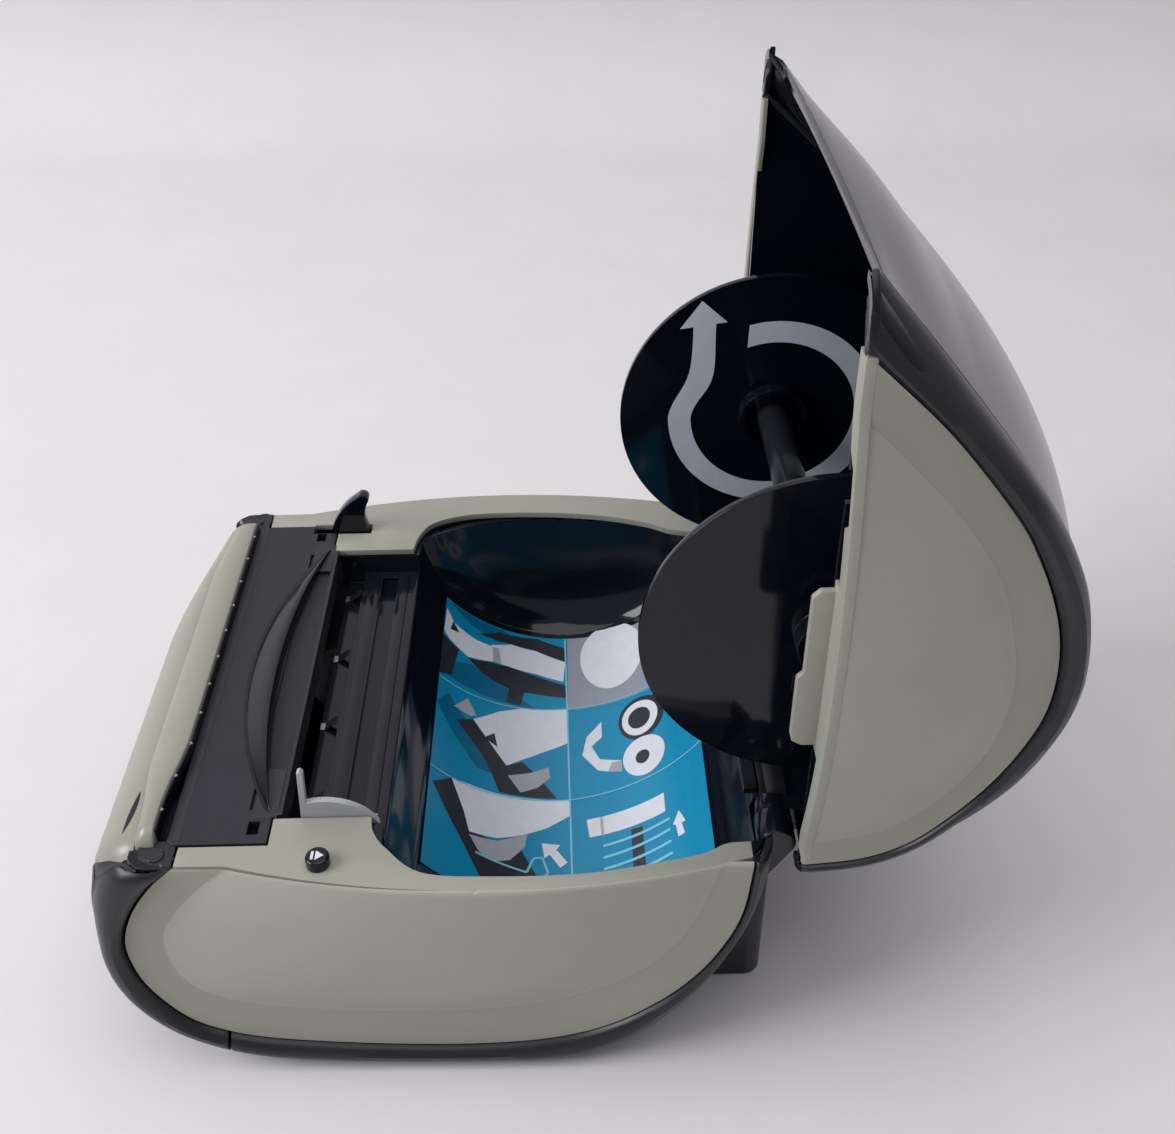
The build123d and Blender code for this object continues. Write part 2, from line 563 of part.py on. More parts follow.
def print_head():
    """Heat-sink carriage on two pivot stubs, and the thermal head under it."""
    plate = block(-54, 58, -104, HEAD_Y + 2, -8.6, -6.7)
    fins = [block(-50, 54, y, y + 1.2, -11.5, -8.6) for y in (-90.6, -88.0)]
    stubs = [rod_x(-60, -54, HEAD_Y, HEAD_Z, HEAD_PIN_R), rod_x(58, 64.4, HEAD_Y, HEAD_Z, HEAD_PIN_R)]
    head = block(-54, 58, -103.4, -93.5, -10.1, -8.6)
    return plate + fins + stubs, head


def release_lever():
    """Swept fin above the deck on a short arm below it."""
    x0, x1 = LEVER_X - LEVER_T / 2, LEVER_X + LEVER_T / 2
    fin = side_prism(
        Line((-69.2, -3), (-81.6, -3)) + Line((-81.6, -3), (-81.9, 0))
        + ThreePointArc((-81.9, 0), (-78.2, 8.2), (-71.6, 14.4))
        + ThreePointArc((-71.6, 14.4), (-69.4, 15.2), (-67.9, 13.2))
        + ThreePointArc((-67.9, 13.2), (-69.9, 6.6), (-69.0, 0.4))
        + Line((-69.0, 0.4), (-69.2, -3)), x0, x1
    )
    arm_edges = Polyline((-80, -2.8), (-70, -2.8), (-70.6, LEVER_Z), (-77.4, LEVER_Z), close=True)
    arm = side_prism(arm_edges, x0, x1)
    ring = rod_x(x0, x1, LEVER_Y, LEVER_Z, 3.8)
    return fin + arm + ring - rod_x(x0 - 1, x1 + 1, LEVER_Y, LEVER_Z, IDLER_PIN_R + TURN_FIT)


def label_guide():
    """Upright guide with a rounded top and a tall thin post, on a foot that rides in the track."""
    x0, x1 = GUIDE_X, GUIDE_X + GUIDE_T
    plate = side_prism(
        Polyline((-52.2, -9.6), (-72.4, -9.6), (-72.4, 4.4), (-71.2, 5.0))
        + ThreePointArc((-71.2, 5.0), (-61.5, 5.0), (-52.2, -3.4))
        + Line((-52.2, -3.4), (-52.2, -9.6)),
        x0, x1
    )
    post = side_prism(
        Polyline((-73.4, -9.6), (-71.6, -9.6), (-70.4, 16.4), (-71.2, 17.2), (-72.0, 16.6), close=True),
        x0, x1
    )
    foot = block(x0 - 6, x1, -67, -54, -9.6, -8.2)
    runner = block(x0 - 6, x1, -63.2, -58.8, -11.3, -9.6)
    return plate + post + foot + runner


roller_gear, idler_gear, pinion_gear = gear_train()
roller_shaft = rod_x(-71, 66.5, ROLLER_Y, ROLLER_Z, ROLLER_SHAFT_R)
parts["platen_roller"] = (
    rod_x(ROLLER_LEFT, ROLLER_RIGHT, ROLLER_Y, ROLLER_Z, ROLLER_R)
    - rod_x(-80, 80, ROLLER_Y, ROLLER_Z, ROLLER_SHAFT_R)
)
parts["platen_shaft"] = roller_shaft
parts["roller_gear"] = roller_gear
parts["idler_gear"] = idler_gear
parts["motor_pinion"] = pinion_gear + rod_x(-69, -48, PINION_Y, PINION_Z, MOTOR_SHAFT_R)
parts["head_carriage"], parts["thermal_head"] = print_head()
parts["release_lever"] = release_lever()
parts["label_guide"] = label_guide()
button = rod_z(BUTTON_X, BUTTON_Y, -3.4, 3.2, BUTTON_R)
button = fillet([e for e in button.edges() if e.center().Z > 3], 0.9)
parts["reverse_button"] = button + rod_z(BUTTON_X, BUTTON_Y, -9.2, -3.4, 1.6)
feed = Pos(FEED_X, FEED_Y, FEED_Z) * Rot(90, 0, 0) * Cylinder(FEED_R, 11.0)
parts["feed_button"] = fillet([e for e in feed.edges() if e.center().Y < -128], 0.9)


def media_springs():
    """Three small leaf springs that stand up from the trough."""
    leaf = side_prism(
        Polyline((-76, -14), (-74.5, -14), (-70.6, -10.8), (-70.9, -10.5), (-74.7, -13.6), (-76, -13.6),
                 close=True), -1.4, 1.4
    )
    return Part() + [Pos(x, 0, 0) * leaf for x in (-46, -16, 14, 44)]


parts["media_springs"] = media_springs()

# ---------------------------------------------------------------- cover, drawn closed
def opened(shape):
    """Swing a closed piece of the cover about the hinge into the open position."""
    return Pos(0, HINGE_Y, HINGE_Z) * Rot(OPEN_ANGLE, 0, 0) * Pos(0, -HINGE_Y, -HINGE_Z) * shape


cover_outer = hull(cover_edges, HALF_WIDTH, 0)
cover_inner = hull(cover_edges, HALF_WIDTH - WALL, WALL)
lining_outer = hull(cover_edges, HALF_WIDTH - WALL - 0.1, WALL + 0.1)
lining_inner = hull(cover_edges, HALF_WIDTH - WALL - 1.9, WALL + 1.9)
cover_shell = cover_outer - cover_inner

cover_panel_edges = Spline(COVER_PANEL_OUTLINE) + Line(COVER_PANEL_OUTLINE[-1], COVER_PANEL_OUTLINE[0])
cover_grow = [(-27 + (y + 27) * 1.008, 0.6 + (z - 0.6) * 1.01) for y, z in COVER_PANEL_OUTLINE]
cover_groove = side_prism(Spline(cover_grow) + Line(cover_grow[-1], cover_grow[0]), 60, 95)
cover_grooves = cover_groove + mirror_x(cover_groove)
knuckle_room = block(61.4, 71.1, 46, 70, -2, 3.0)
knuckle_rooms = knuckle_room + mirror_x(knuckle_room)


def cover_panel(sign):
    """Side wall of the cover with its bulged field."""
    prism = side_prism(cover_panel_edges, 60, 95)
    prism = prism if sign > 0 else mirror_x(prism)
    near, far = sorted((sign * (HALF_WIDTH - WALL), sign * HALF_WIDTH))
    hollow = dome(sign, DOME_R - WALL, COVER_DOME_SQUASH)
    margin = (block(near, far, -130, 70, 0.6, 70) & prism) - hollow
    beyond = block(*sorted((sign * (HALF_WIDTH - WALL), sign * 95)), -130, 70, 0.6, 70)
    outer = dome(sign, DOME_R, COVER_DOME_SQUASH)
    field = (outer - hollow) & beyond & prism
    lip_zone = block(*sorted((sign * (HALF_WIDTH - 2.4), sign * 95)), -95, 44, 0.6, 2.6)
    lip = (outer - dome(sign, DOME_R - RIM_LIP, COVER_DOME_SQUASH)) & lip_zone & prism
    return margin + field + lip


def skirt_tab():
    """Tongue under the right panel that hooks inside the rim of the base."""
    tab = block(HALF_WIDTH - WALL, HALF_WIDTH - 0.4, -40, 8, -6, 3)
    low = [e for e in tab.edges().filter_by(Axis.X) if e.center().Z < 0]
    return fillet(low, 4)


nose_notch = bar_front_view(1.0)
button_recess = rod_z(BUTTON_X, BUTTON_Y, -1, 4.6, BUTTON_R + 1.1)
middle = block(-CROWN_HALF + GAP / 2, CROWN_HALF - GAP / 2, -140, 80, 0, 90)
beyond_middle = block(-CROWN_HALF - GAP / 2, CROWN_HALF + GAP / 2, -141, 81, -1, 91)
sides = block(-95, 95, -140, 80, 0, 90) - beyond_middle
parts["cover_top_shell"] = opened((cover_shell & middle) - knuckle_rooms - nose_notch)
parts["cover_band"] = opened((cover_shell & sides) - cover_grooves - knuckle_rooms - nose_notch)
parts["cover_right_panel"] = opened(cover_panel(1) + skirt_tab() - button_recess)
parts["cover_left_panel"] = opened(cover_panel(-1))


def cover_lining():
    """Black inner shell, with the hinge lugs that turn on the pins."""
    side_limit = block(-HALF_WIDTH + 2.7, HALF_WIDTH - 2.7, -140, 80, 0.6, 90)
    shell = ((lining_outer - lining_inner) & side_limit) - knuckle_rooms - nose_notch - button_recess
    lug = rod_x(56.4, 61.2, HINGE_Y, HINGE_Z, 4.4) + side_prism(
        Polyline((50.6, -2.0), (51.6, 8), (57.4, 12), (58.2, -3), close=True), 56.4, 61.2
    )
    bore = rod_x(50, 66, HINGE_Y, HINGE_Z, PIN_R + TURN_FIT)
    lugs = lug + mirror_x(lug)
    return shell + (lugs & (lining_outer + block(-90, 90, 40, 58.2, -12, 0.7))) - bore - mirror_x(bore)


def cradle(sign):
    """Hanger with an open-ended slot that a stub of the spool turns in."""
    x0, x1 = sorted((sign * 61.2, sign * 64.2))
    hanger = side_prism(
        Polyline((-13.5, 60), (10.5, 60), (7.5, WELL_Z - 2), (3.5, WELL_Z - 5.5), (-6.5, WELL_Z - 5.5),
                 (-10.5, WELL_Z - 2), close=True), x0, x1
    )
    seat = rod_x(x0 - 1, x1 + 1, WELL_Y, WELL_Z, STUB_R + TURN_FIT)
    throat = block(x0 - 1, x1 + 1, WELL_Y - 2.9, WELL_Y + 2.9, WELL_Z - 8, WELL_Z)
    return (hanger & lining_inner) - seat - throat


def spool_core():
    """Left disk with its shaft, hub and two stubs."""
    disk = rod_x(DISK_LEFT, DISK_LEFT + DISK_T, WELL_Y, WELL_Z, DISK_R)
    hub = rod_x(DISK_LEFT + DISK_T, DISK_LEFT + DISK_T + 4, WELL_Y, WELL_Z, 11)
    hub = hub - rod_x(DISK_LEFT + DISK_T + 1, DISK_LEFT + DISK_T + 5, WELL_Y, WELL_Z, 9.4)
    shaft = rod_x(DISK_LEFT, 58.0, WELL_Y, WELL_Z, SHAFT_R)
    stubs = rod_x(-65.2, 65.2, WELL_Y, WELL_Z, STUB_R)
    return disk + hub + shaft + stubs


def spool_ring():
    """Right disk, a ring that slides along the shaft, with a short sleeve."""
    disk = rod_x(DISK_RIGHT, DISK_RIGHT + DISK_T, WELL_Y, WELL_Z, DISK_R)
    sleeve = rod_x(DISK_RIGHT + DISK_T, DISK_RIGHT + DISK_T + 5, WELL_Y, WELL_Z, 9)
    ring = disk + sleeve - rod_x(40, 60, WELL_Y, WELL_Z, SHAFT_R + TURN_FIT)
    face = DISK_RIGHT + DISK_T
    tick = block(face, face + 0.3, WELL_Y, WELL_Y + 5, WELL_Z, WELL_Z + 0.8)
    return ring + [Pos(0, y, z) * tick for y, z in ((14, -8), (14, 10), (38, -6), (-34, 4))]


def roll_arrow():
    """Curved arrow printed on the inner face of the left disk, drawn as seen with the cover open."""
    def seen(u, v):
        return (WELL_Y - v, WELL_Z + u)

    x0, x1 = DISK_LEFT + DISK_T, DISK_LEFT + DISK_T + 0.15
    ring = rod_x(x0, x1, WELL_Y, WELL_Z, 33.4) - rod_x(x0 - 1, x1 + 1, WELL_Y, WELL_Z, 26.2)
    wedge = [seen(u, v) for u, v in ((0, 0), (-44, 0), (-44, 44), (-9, 44), (-9.6, 20))]
    missing = side_prism(Polyline(*wedge, close=True), x0 - 1, x1 + 1)
    stem = side_prism(
        Spline([seen(*p) for p in ((-33.4, -1), (-31.8, 5), (-28.0, 13), (-26.6, 22), (-26.6, 34))])
        + Line(seen(-26.6, 34), seen(-19.6, 34))
        + Spline([seen(*p) for p in ((-19.6, 34), (-19.4, 22), (-20.8, 11), (-24.8, 4), (-26.2, -1))])
        + Line(seen(-26.2, -1), seen(-33.4, -1)), x0, x1
    )
    tip = [seen(u, v) for u, v in ((-30.6, 31.2), (-24.2, 40.6), (-16.2, 33.4))]
    head = side_prism(Polyline(*tip, close=True), x0, x1)
    return ring - missing + stem + head


parts["cover_lining"] = opened(cover_lining())
parts["spool_cradles"] = opened(Part() + [cradle(-1), cradle(1)])
parts["spool_core"] = opened(spool_core())
parts["spool_ring"] = opened(spool_ring())
parts["roll_arrow"] = opened(roll_arrow())

# ---------------------------------------------------------------- lift onto the floor and write
for name, shape in parts.items():
    print(name, round(shape.volume), len(shape.solids()))
    export_step(Pos(0, 0, RIM_HEIGHT + FOOT_PROUD) * shape, f"parts/{name}.step")
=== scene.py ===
"""Looks for the desktop label maker: moulded skins, printed sheet, materials, floor, light, camera.

The outlines below are millimetres in the machine's own axes: x to its right, y to its rear and z up
from the rim where the cover closes. place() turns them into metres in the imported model's frame.
Pieces of the cover are drawn closed and swung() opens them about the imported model's hinge.
"""
import json
from math import pi, radians, sin

import bmesh
import bpy
import numpy as np
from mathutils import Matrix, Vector


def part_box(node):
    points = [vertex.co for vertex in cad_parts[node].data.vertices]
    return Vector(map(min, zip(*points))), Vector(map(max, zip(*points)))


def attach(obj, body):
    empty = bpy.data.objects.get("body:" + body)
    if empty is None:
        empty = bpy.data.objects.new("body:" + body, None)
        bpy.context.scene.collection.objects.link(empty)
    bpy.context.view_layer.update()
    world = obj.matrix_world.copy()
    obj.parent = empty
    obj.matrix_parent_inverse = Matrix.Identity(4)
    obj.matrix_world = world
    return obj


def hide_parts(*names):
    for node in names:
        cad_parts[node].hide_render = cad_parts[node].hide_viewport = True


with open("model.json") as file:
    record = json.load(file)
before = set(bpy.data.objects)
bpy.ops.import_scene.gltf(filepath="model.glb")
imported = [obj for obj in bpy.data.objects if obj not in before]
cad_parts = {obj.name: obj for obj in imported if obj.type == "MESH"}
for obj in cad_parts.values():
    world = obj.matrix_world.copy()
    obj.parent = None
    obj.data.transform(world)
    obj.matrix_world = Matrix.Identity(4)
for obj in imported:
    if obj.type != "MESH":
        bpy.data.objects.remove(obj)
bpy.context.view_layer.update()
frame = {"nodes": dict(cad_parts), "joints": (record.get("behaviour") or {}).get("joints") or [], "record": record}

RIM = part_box("right_side_panel")[1].z * 1000
HINGE = next(joint for joint in frame["joints"] if joint["name"] == "cover_hinge")
HINGE_Y, HINGE_Z = HINGE["pos_m"][1] * 1000, HINGE["pos_m"][2] * 1000 - RIM
COVER_RIM = 0.6  # height of the closed cover's lower edge
SEAT_GAP = 0.4  # lowest that a piece of the closed cover comes to the rim
WALL = 2.2  # wall of the base's side panels
SKIN = 1.8  # wall of the charcoal mouldings
WELL_Y, WELL_Z, SHEET_R = -1.5, 8.0, 51.78  # roll well's axis, instruction sheet's radius
SHAFT_R = 5.02  # sleeve on the roll shaft
SEAM_Y = -98.0  # where the front lower cover meets the bottom cover
BULGE = 8.2  # height of the pillow field on each side
RIM_ROUND = 1.3  # rounding where a side meets its rim
BASE_MID, COVER_MID = (-25.0, 0.0), (-18.0, COVER_RIM)  # middles of the two pillows, (y, z)
CORE = (0, -36, -30)  # a point well inside the base
SHORT = 0.004  # angle by which a moulding stops short of the rim or of its seam
CREASE = 1.006  # how much the panel's outline grows to the groove beside the band

BAR_HALF, BAR_FLAT = 70.4, 65.0  # half length of the tear bar, and of its part at full height
BAR_REAR, BAR_TURN = -107.4, 2.5  # rear edge of the tear bar, and how far it turns forward
BAR_LIP = 1.2  # depth of the rounding along its rear edge
BAR_FOOT = -3.0  # depth that it reaches down to
STRIP_TOP, STRIP_DROP = 0.5, 6.5  # front strip's height at the crease, and its fall to the front
STRIP_CREASE = -117.6  # line between the tear bar and the front strip
STRIP_EDGE = -6.2  # height where the front strip turns into its front face
TOP_BOW = 9.3  # height of the crown on the cover's top shell
TOP_HALF = 66.0  # half width of the cover's top shell
COVER_STEPS = 90  # points along the cover's top, from its front edge to the hinges
GRIP_STEPS = 60  # steps along the finger grip
SIDES = ((1, "right"), (-1, "left"))
SHEET_CUTS = np.arange(-44, 42, 2.0)  # lines that shapes on the instruction sheet are folded along

# Side outlines (y, z) from the front rim round to the rear rim: band, panel, raised field.
BAND_BASE = [(-121.4, 0), (-127.2, -7), (-129.5, -15), (-129.8, -26), (-129.2, -42), (-122.6, -57),
             (-109.5, -69), (-91, -76.8), (-66, -79), (-35, -79), (-4, -78.9), (16, -72.7), (30, -60),
             (40.2, -46), (48, -29), (52, -12), (53, 0)]
PANEL_BASE = [(-103.5, 0), (-110, -6.5), (-116.5, -16), (-120.4, -26), (-120.6, -35), (-117.5, -46),
              (-109, -58), (-98.5, -64.2), (-84, -67.8), (-57, -70.2), (-30, -70.7), (-8, -68.6),
              (9, -63), (23, -53.3), (33, -42.6), (40, -30.8), (44.6, -17.8), (46.6, 0)]
FIELD_BASE = [(-89.5, 0), (-98, -7.5), (-106, -17), (-110.4, -26), (-109.5, -38), (-103.5, -47.3),
              (-92, -52.4), (-72, -55.5), (-50, -56.7), (-28, -56), (-9, -53.2), (10, -46), (23, -35.7),
              (31.4, -23), (36, -9), (38.6, 0)]
BAND_COVER = [(-115.5, 0.6), (-106.5, 7.4), (-88.5, 22.5), (-65, 41.2), (-47.6, 52.6), (-32, 59.2),
              (-14, 62.2), (6, 61.6), (29, 54.6), (47.5, 40.5), (58, 22.6), (61.2, 0.6)]
PANEL_COVER = [(-98, 0.6), (-93, 6.2), (-78, 21.4), (-58.5, 37.2), (-47, 44.2), (-35, 49.8), (-23.4, 53.5),
               (-11.2, 55.1), (0.5, 54.4), (12.6, 50.4), (24, 44.3), (34.5, 36.2), (43, 27.4),
               (48.2, 16.2), (50.2, 0.6)]
FIELD_COVER = [(-84, 0.6), (-77.5, 8.2), (-60, 24.4), (-47.5, 33.5), (-37.2, 38.9), (-23.7, 43.1),
               (-11.4, 45.4), (1.3, 45.1), (12.3, 42.3), (23.7, 36.1), (33, 27.7), (38.9, 18.5), (42.6, 0.6)]
# Plan outlines (x, y) of the roll well's opening along the two rim plates.
OPENING_RIGHT = [(61.4, -54), (66.5, -53), (72, -49.2), (80.2, -39.3), (82, -20.6), (81.7, 2.8),
                 (79.2, 19.6), (76.3, 33.5), (73.2, 40), (72.6, 46.6)]
OPENING_LEFT = [(-55.5, -52.8), (-64, -51), (-70.8, -46), (-75, -33), (-75.4, -9.8), (-73, 11.3),
                (-68.5, 27), (-64, 36), (-62, 46.6)]

# How a band rolls from its panel's groove (share 0) to its own outline (share 1): (share, stand-out).
BASE_ROLL = [(-0.05, -2.4), (0.02, -0.5), (0.05, 0.7), (0.14, 1.8), (0.3, 2.5), (0.48, 2.3), (0.64, 1.4),
             (0.79, -0.5), (0.91, -3.8), (1.0, -9.2)]
FULL_ROLL = [(-0.05, -2.4), (0.02, -0.5), (0.06, 0.9), (0.18, 2.4), (0.42, 3.4), (0.68, 3.0), (0.88, 1.4),
             (1.01, -1.4), (1.06, -5.2), (1.04, -9.6)]
SLIM_ROLL = [(-0.05, -2.4), (0.02, -0.5), (0.06, 0.4), (0.14, 0.7), (0.26, 0.1), (0.42, -1.6), (0.6, -3.6),
             (0.76, -5.6), (0.9, -7.8), (1.0, -10.0)]


# ---------------- materials
def new_material(name):
    """Material with its nodes, its links and its surface shader."""
    material = bpy.data.materials.new(name)
    material.use_nodes = True
    nodes, links = material.node_tree.nodes, material.node_tree.links
    return material, nodes, links, nodes["Principled BSDF"]


def noise(nodes, links, scale, detail=4.0, rough=0.55, stretch=(1, 1, 1)):
    """Noise in the object's own space; scale is in repeats per metre."""
    where = nodes.new("ShaderNodeTexCoord")
    mapping = nodes.new("ShaderNodeMapping")
    mapping.inputs["Scale"].default_value = stretch
    texture = nodes.new("ShaderNodeTexNoise")
    texture.inputs["Scale"].default_value = scale
    texture.inputs["Detail"].default_value = detail
    texture.inputs["Roughness"].default_value = rough
    links.new(where.outputs["Object"], mapping.inputs["Vector"])
    links.new(mapping.outputs["Vector"], texture.inputs["Vector"])
    return texture.outputs["Fac"]


def ramp(nodes, links, source, low, high, at=(0.3, 0.7)):
    """Maps a 0 to 1 signal to a colour between low and high."""
    node = nodes.new("ShaderNodeValToRGB")
    first, last = node.color_ramp.elements
    first.position, last.position = at
    first.color, last.color = (*low, 1), (*high, 1)
    links.new(source, node.inputs["Fac"])
    return node.outputs["Color"]


def span(nodes, links, source, low, high):
    """Maps a 0 to 1 signal to a number between low and high."""
    node = nodes.new("ShaderNodeMapRange")
    node.inputs["To Min"].default_value = low
    node.inputs["To Max"].default_value = high
    links.new(source, node.inputs["Value"])
    return node.outputs["Result"]


def bump(nodes, links, source, strength, distance):
    """Surface normal raised by a signal; distance is in metres."""
    node = nodes.new("ShaderNodeBump")
    node.inputs["Strength"].default_value = strength
    node.inputs["Distance"].default_value = distance
    links.new(source, node.inputs["Height"])
    return node.outputs["Normal"]


def plastic(name, colour, rough, spread=0.06, grain=0.00003, grain_scale=1400, coat=0.0, vary=0.05,
            specular=0.5):
    """Moulded plastic: cloudy colour, rubbed edges, uneven gloss and a fine moulded grain."""
    material, nodes, links, shader = new_material(name)
    cloud = noise(nodes, links, 22, 3)
    low = tuple(c * (1 - vary) for c in colour)
    high = tuple(min(1, c * (1 + vary)) for c in colour)
    clouded = ramp(nodes, links, cloud, low, high)
    worn = nodes.new("ShaderNodeMix")
    worn.data_type = "RGBA"
    edge = nodes.new("ShaderNodeNewGeometry")
    rubbed = ramp(nodes, links, edge.outputs["Pointiness"], (0, 0, 0), (0.5, 0.5, 0.5), (0.53, 0.66))
    links.new(rubbed, worn.inputs["Factor"])
    links.new(clouded, worn.inputs["A"])
    worn.inputs["B"].default_value = (*[min(1, c * 1.25 + 0.012) for c in colour], 1)
    links.new(worn.outputs["Result"], shader.inputs["Base Color"])
    smear = noise(nodes, links, 55, 6, 0.7, (1, 2.4, 1))
    gloss = span(nodes, links, smear, max(0.02, rough - spread), rough + spread)
    links.new(gloss, shader.inputs["Roughness"])
    fine = noise(nodes, links, grain_scale, 2)
    links.new(bump(nodes, links, fine, 0.35, grain), shader.inputs["Normal"])
    shader.inputs["Specular IOR Level"].default_value = specular
    shader.inputs["Coat Weight"].default_value = coat
    shader.inputs["Coat Roughness"].default_value = 0.08
    return material


def metal(name, colour, rough, stretch=(1, 60, 60), scale=40):
    """Drawn metal with fine lines along X."""
    material, nodes, links, shader = new_material(name)
    lines = noise(nodes, links, scale, 6, 0.6, stretch)
    links.new(ramp(nodes, links, lines, tuple(c * 0.8 for c in colour), colour), shader.inputs["Base Color"])
    links.new(span(nodes, links, lines, rough * 0.7, rough * 1.4), shader.inputs["Roughness"])
    links.new(bump(nodes, links, lines, 0.15, 0.00002), shader.inputs["Normal"])
    shader.inputs["Metallic"].default_value = 1.0
    return material


def printed(name, colour, rough=0.3):
    """Printed paper under a thin film: ink mottling, paper fibre and a soft sheen."""
    material, nodes, links, shader = new_material(name)
    mottle = noise(nodes, links, 260, 4)
    low = tuple(c * 0.93 for c in colour)
    links.new(ramp(nodes, links, mottle, low, colour), shader.inputs["Base Color"])
    fibre = noise(nodes, links, 2600, 3, 0.6, (1, 0.25, 1))
    links.new(bump(nodes, links, fibre, 0.12, 0.00001), shader.inputs["Normal"])
    links.new(span(nodes, links, mottle, rough - 0.05, rough + 0.08), shader.inputs["Roughness"])
    return material


LOOKS = {
    "putty": plastic("putty_plastic", (0.284, 0.278, 0.236), 0.42, 0.07, 0.00003, 1300),
    # lighter copy of the putty for the raised side fields: painted light for the light that their slopes catch
    "putty_field_painted_light": plastic("putty_field_painted_light", (0.337, 0.334, 0.288), 0.36, 0.06, 0.00002, 1300),
    "putty_gloss": plastic("putty_polished", (0.262, 0.254, 0.211), 0.3, 0.04, 0.00001, 1300),
    "charcoal": plastic("charcoal_plastic", (0.0125, 0.0127, 0.0165), 0.33, 0.06, 0.00003, 1700,
                        specular=0.4),
    "black_matte": plastic("black_textured", (0.0125, 0.0118, 0.018), 0.5, 0.05, 0.00006, 1500,
                           specular=0.42),
    "black_satin": plastic("black_satin", (0.004, 0.004, 0.0075), 0.28, 0.05, 0.00002, 1500, specular=0.4),
    "black_gloss": plastic("black_polished", (0.004, 0.005, 0.010), 0.09, 0.02, 0.000004, 500,
                           specular=0.36),
    "top_shell": plastic("top_polished", (0.02, 0.021, 0.023), 0.19, 0.03, 0.000004, 500, 0.15),
    "grey_guide": plastic("grey_plastic", (0.40, 0.40, 0.44), 0.38, 0.06, 0.00002, 1400),
    "rubber": plastic("roller_rubber", (0.02, 0.02, 0.021), 0.72, 0.08, 0.00004, 900),
    "grip": plastic("grip_plastic", (0.004, 0.004, 0.007), 0.17, 0.05, 0.00001, 1200),
    # the sleeve's black is a little lighter than the shaft's glossy black: the shaft's own black plus painted
    # light for the light that it catches
    "shaft": plastic("shaft_plastic_painted_light", (0.009, 0.01, 0.014), 0.13, 0.05, 0.00001, 900),
    "gear_plastic": plastic("gear_plastic", (0.66, 0.64, 0.56), 0.4, 0.06, 0.00002, 900),
    "board": plastic("board_green", (0.015, 0.13, 0.06), 0.35, 0.05, 0.00002, 800),
    "steel": metal("drawn_steel", (0.56, 0.57, 0.6), 0.3),
    "aluminium": metal("ribbed_aluminium", (0.72, 0.73, 0.75), 0.35),
    "sticker": printed("sticker_blue", (0.0, 0.235, 0.42)),
    "print_grey": printed("printed_grey", (0.27, 0.29, 0.35), 0.36),
    # the roll arrow's print is lighter than the sheet's grey: painted light that makes up for the shade on the far
    # disc
    "print_arrow_painted_light": printed("printed_arrow_painted_light", (0.62, 0.65, 0.72), 0.4),
    "print_white": printed("printed_white", (0.66, 0.68, 0.74)),
    "print_shade": printed("printed_shade", (0.36, 0.37, 0.41)),
    "print_dark": printed("printed_dark", (0.022, 0.024, 0.034)),
    "print_pale": printed("printed_pale_blue", (0.20, 0.52, 0.68)),
    "print_deep": printed("printed_deep_blue", (0.0, 0.12, 0.24)),
}

SLOT_OF = {row["node"]: row["material_slot"] for row in frame["record"]["subparts"]}
OWN_LOOK = {"deck_frame": "black_gloss", "roll_arrow": "print_arrow_painted_light", "rear_deck": "black_satin"}
PLAIN_EDGES = ("instruction_sticker", "roll_arrow", "corner_bosses", "media_springs")


def soften(obj, width, segments, angle):
    """Eases the edges of an object that are sharper than an angle in degrees."""
    modifier = obj.modifiers.new("soften", "BEVEL")
    modifier.limit_method = "ANGLE"
    modifier.angle_limit = radians(angle)
    modifier.width = width
    modifier.segments = segments
    return modifier


def dress_nodes():
    """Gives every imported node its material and, where its shape takes it, slightly eased edges."""
    for name, node in frame["nodes"].items():
        node.data.materials.clear()
        node.data.materials.append(LOOKS[OWN_LOOK.get(name, SLOT_OF[name])])
        if name in PLAIN_EDGES:
            continue
        weld = node.modifiers.new("weld", "WELD")
        weld.merge_threshold = 0.000001
        soften(node, 0.0002, 2, 40).harden_normals = True


def new_object(name, data):
    """Object in the scene for a mesh, a lamp or a camera."""
    obj = bpy.data.objects.new(name, data)
    bpy.context.scene.collection.objects.link(obj)
    return obj


# ---------------- shapes
def place(points):
    """Millimetres above the rim to metres above the floor."""
    return (np.asarray(points, float) + (0, 0, RIM)) / 1000


def swung(points):
    """Closed cover to open cover, a quarter turn about the hinge."""
    x, y, z = np.moveaxis(np.asarray(points, float), -1, 0)
    return np.stack([x, HINGE_Y + (z - HINGE_Z), HINGE_Z - (y - HINGE_Y)], -1)


def even(value, start, end):
    """0 up to start, 1 from end on, and a straight climb between them."""
    return np.clip((value - start) / (end - start), 0, 1)


def smooth(value, start, end):
    """Like even, with both ends of the climb eased."""
    t = even(value, start, end)
    return t * t * (3 - 2 * t)


def quarter_round(value, start, end):
    """1 up to start, then down a quarter of an ellipse to 0 at end."""
    return (1 - even(value, start, end) ** 2) ** 0.5


def curve(points, per=14):
    """Smooth line through the points, with so many steps between two of them."""
    p = np.asarray(points, float)
    p = np.vstack([2 * p[0] - p[1], p, 2 * p[-1] - p[-2]])
    line = []
    for a, b, c, d in zip(p, p[1:], p[2:], p[3:]):
        for t in np.arange(per) / per:
            line.append(b + 0.5 * t * (c - a + t * (2 * a - 5 * b + 4 * c - d + t * (3 * (b - c) + d - a))))
    return np.array(line + [p[-2]])


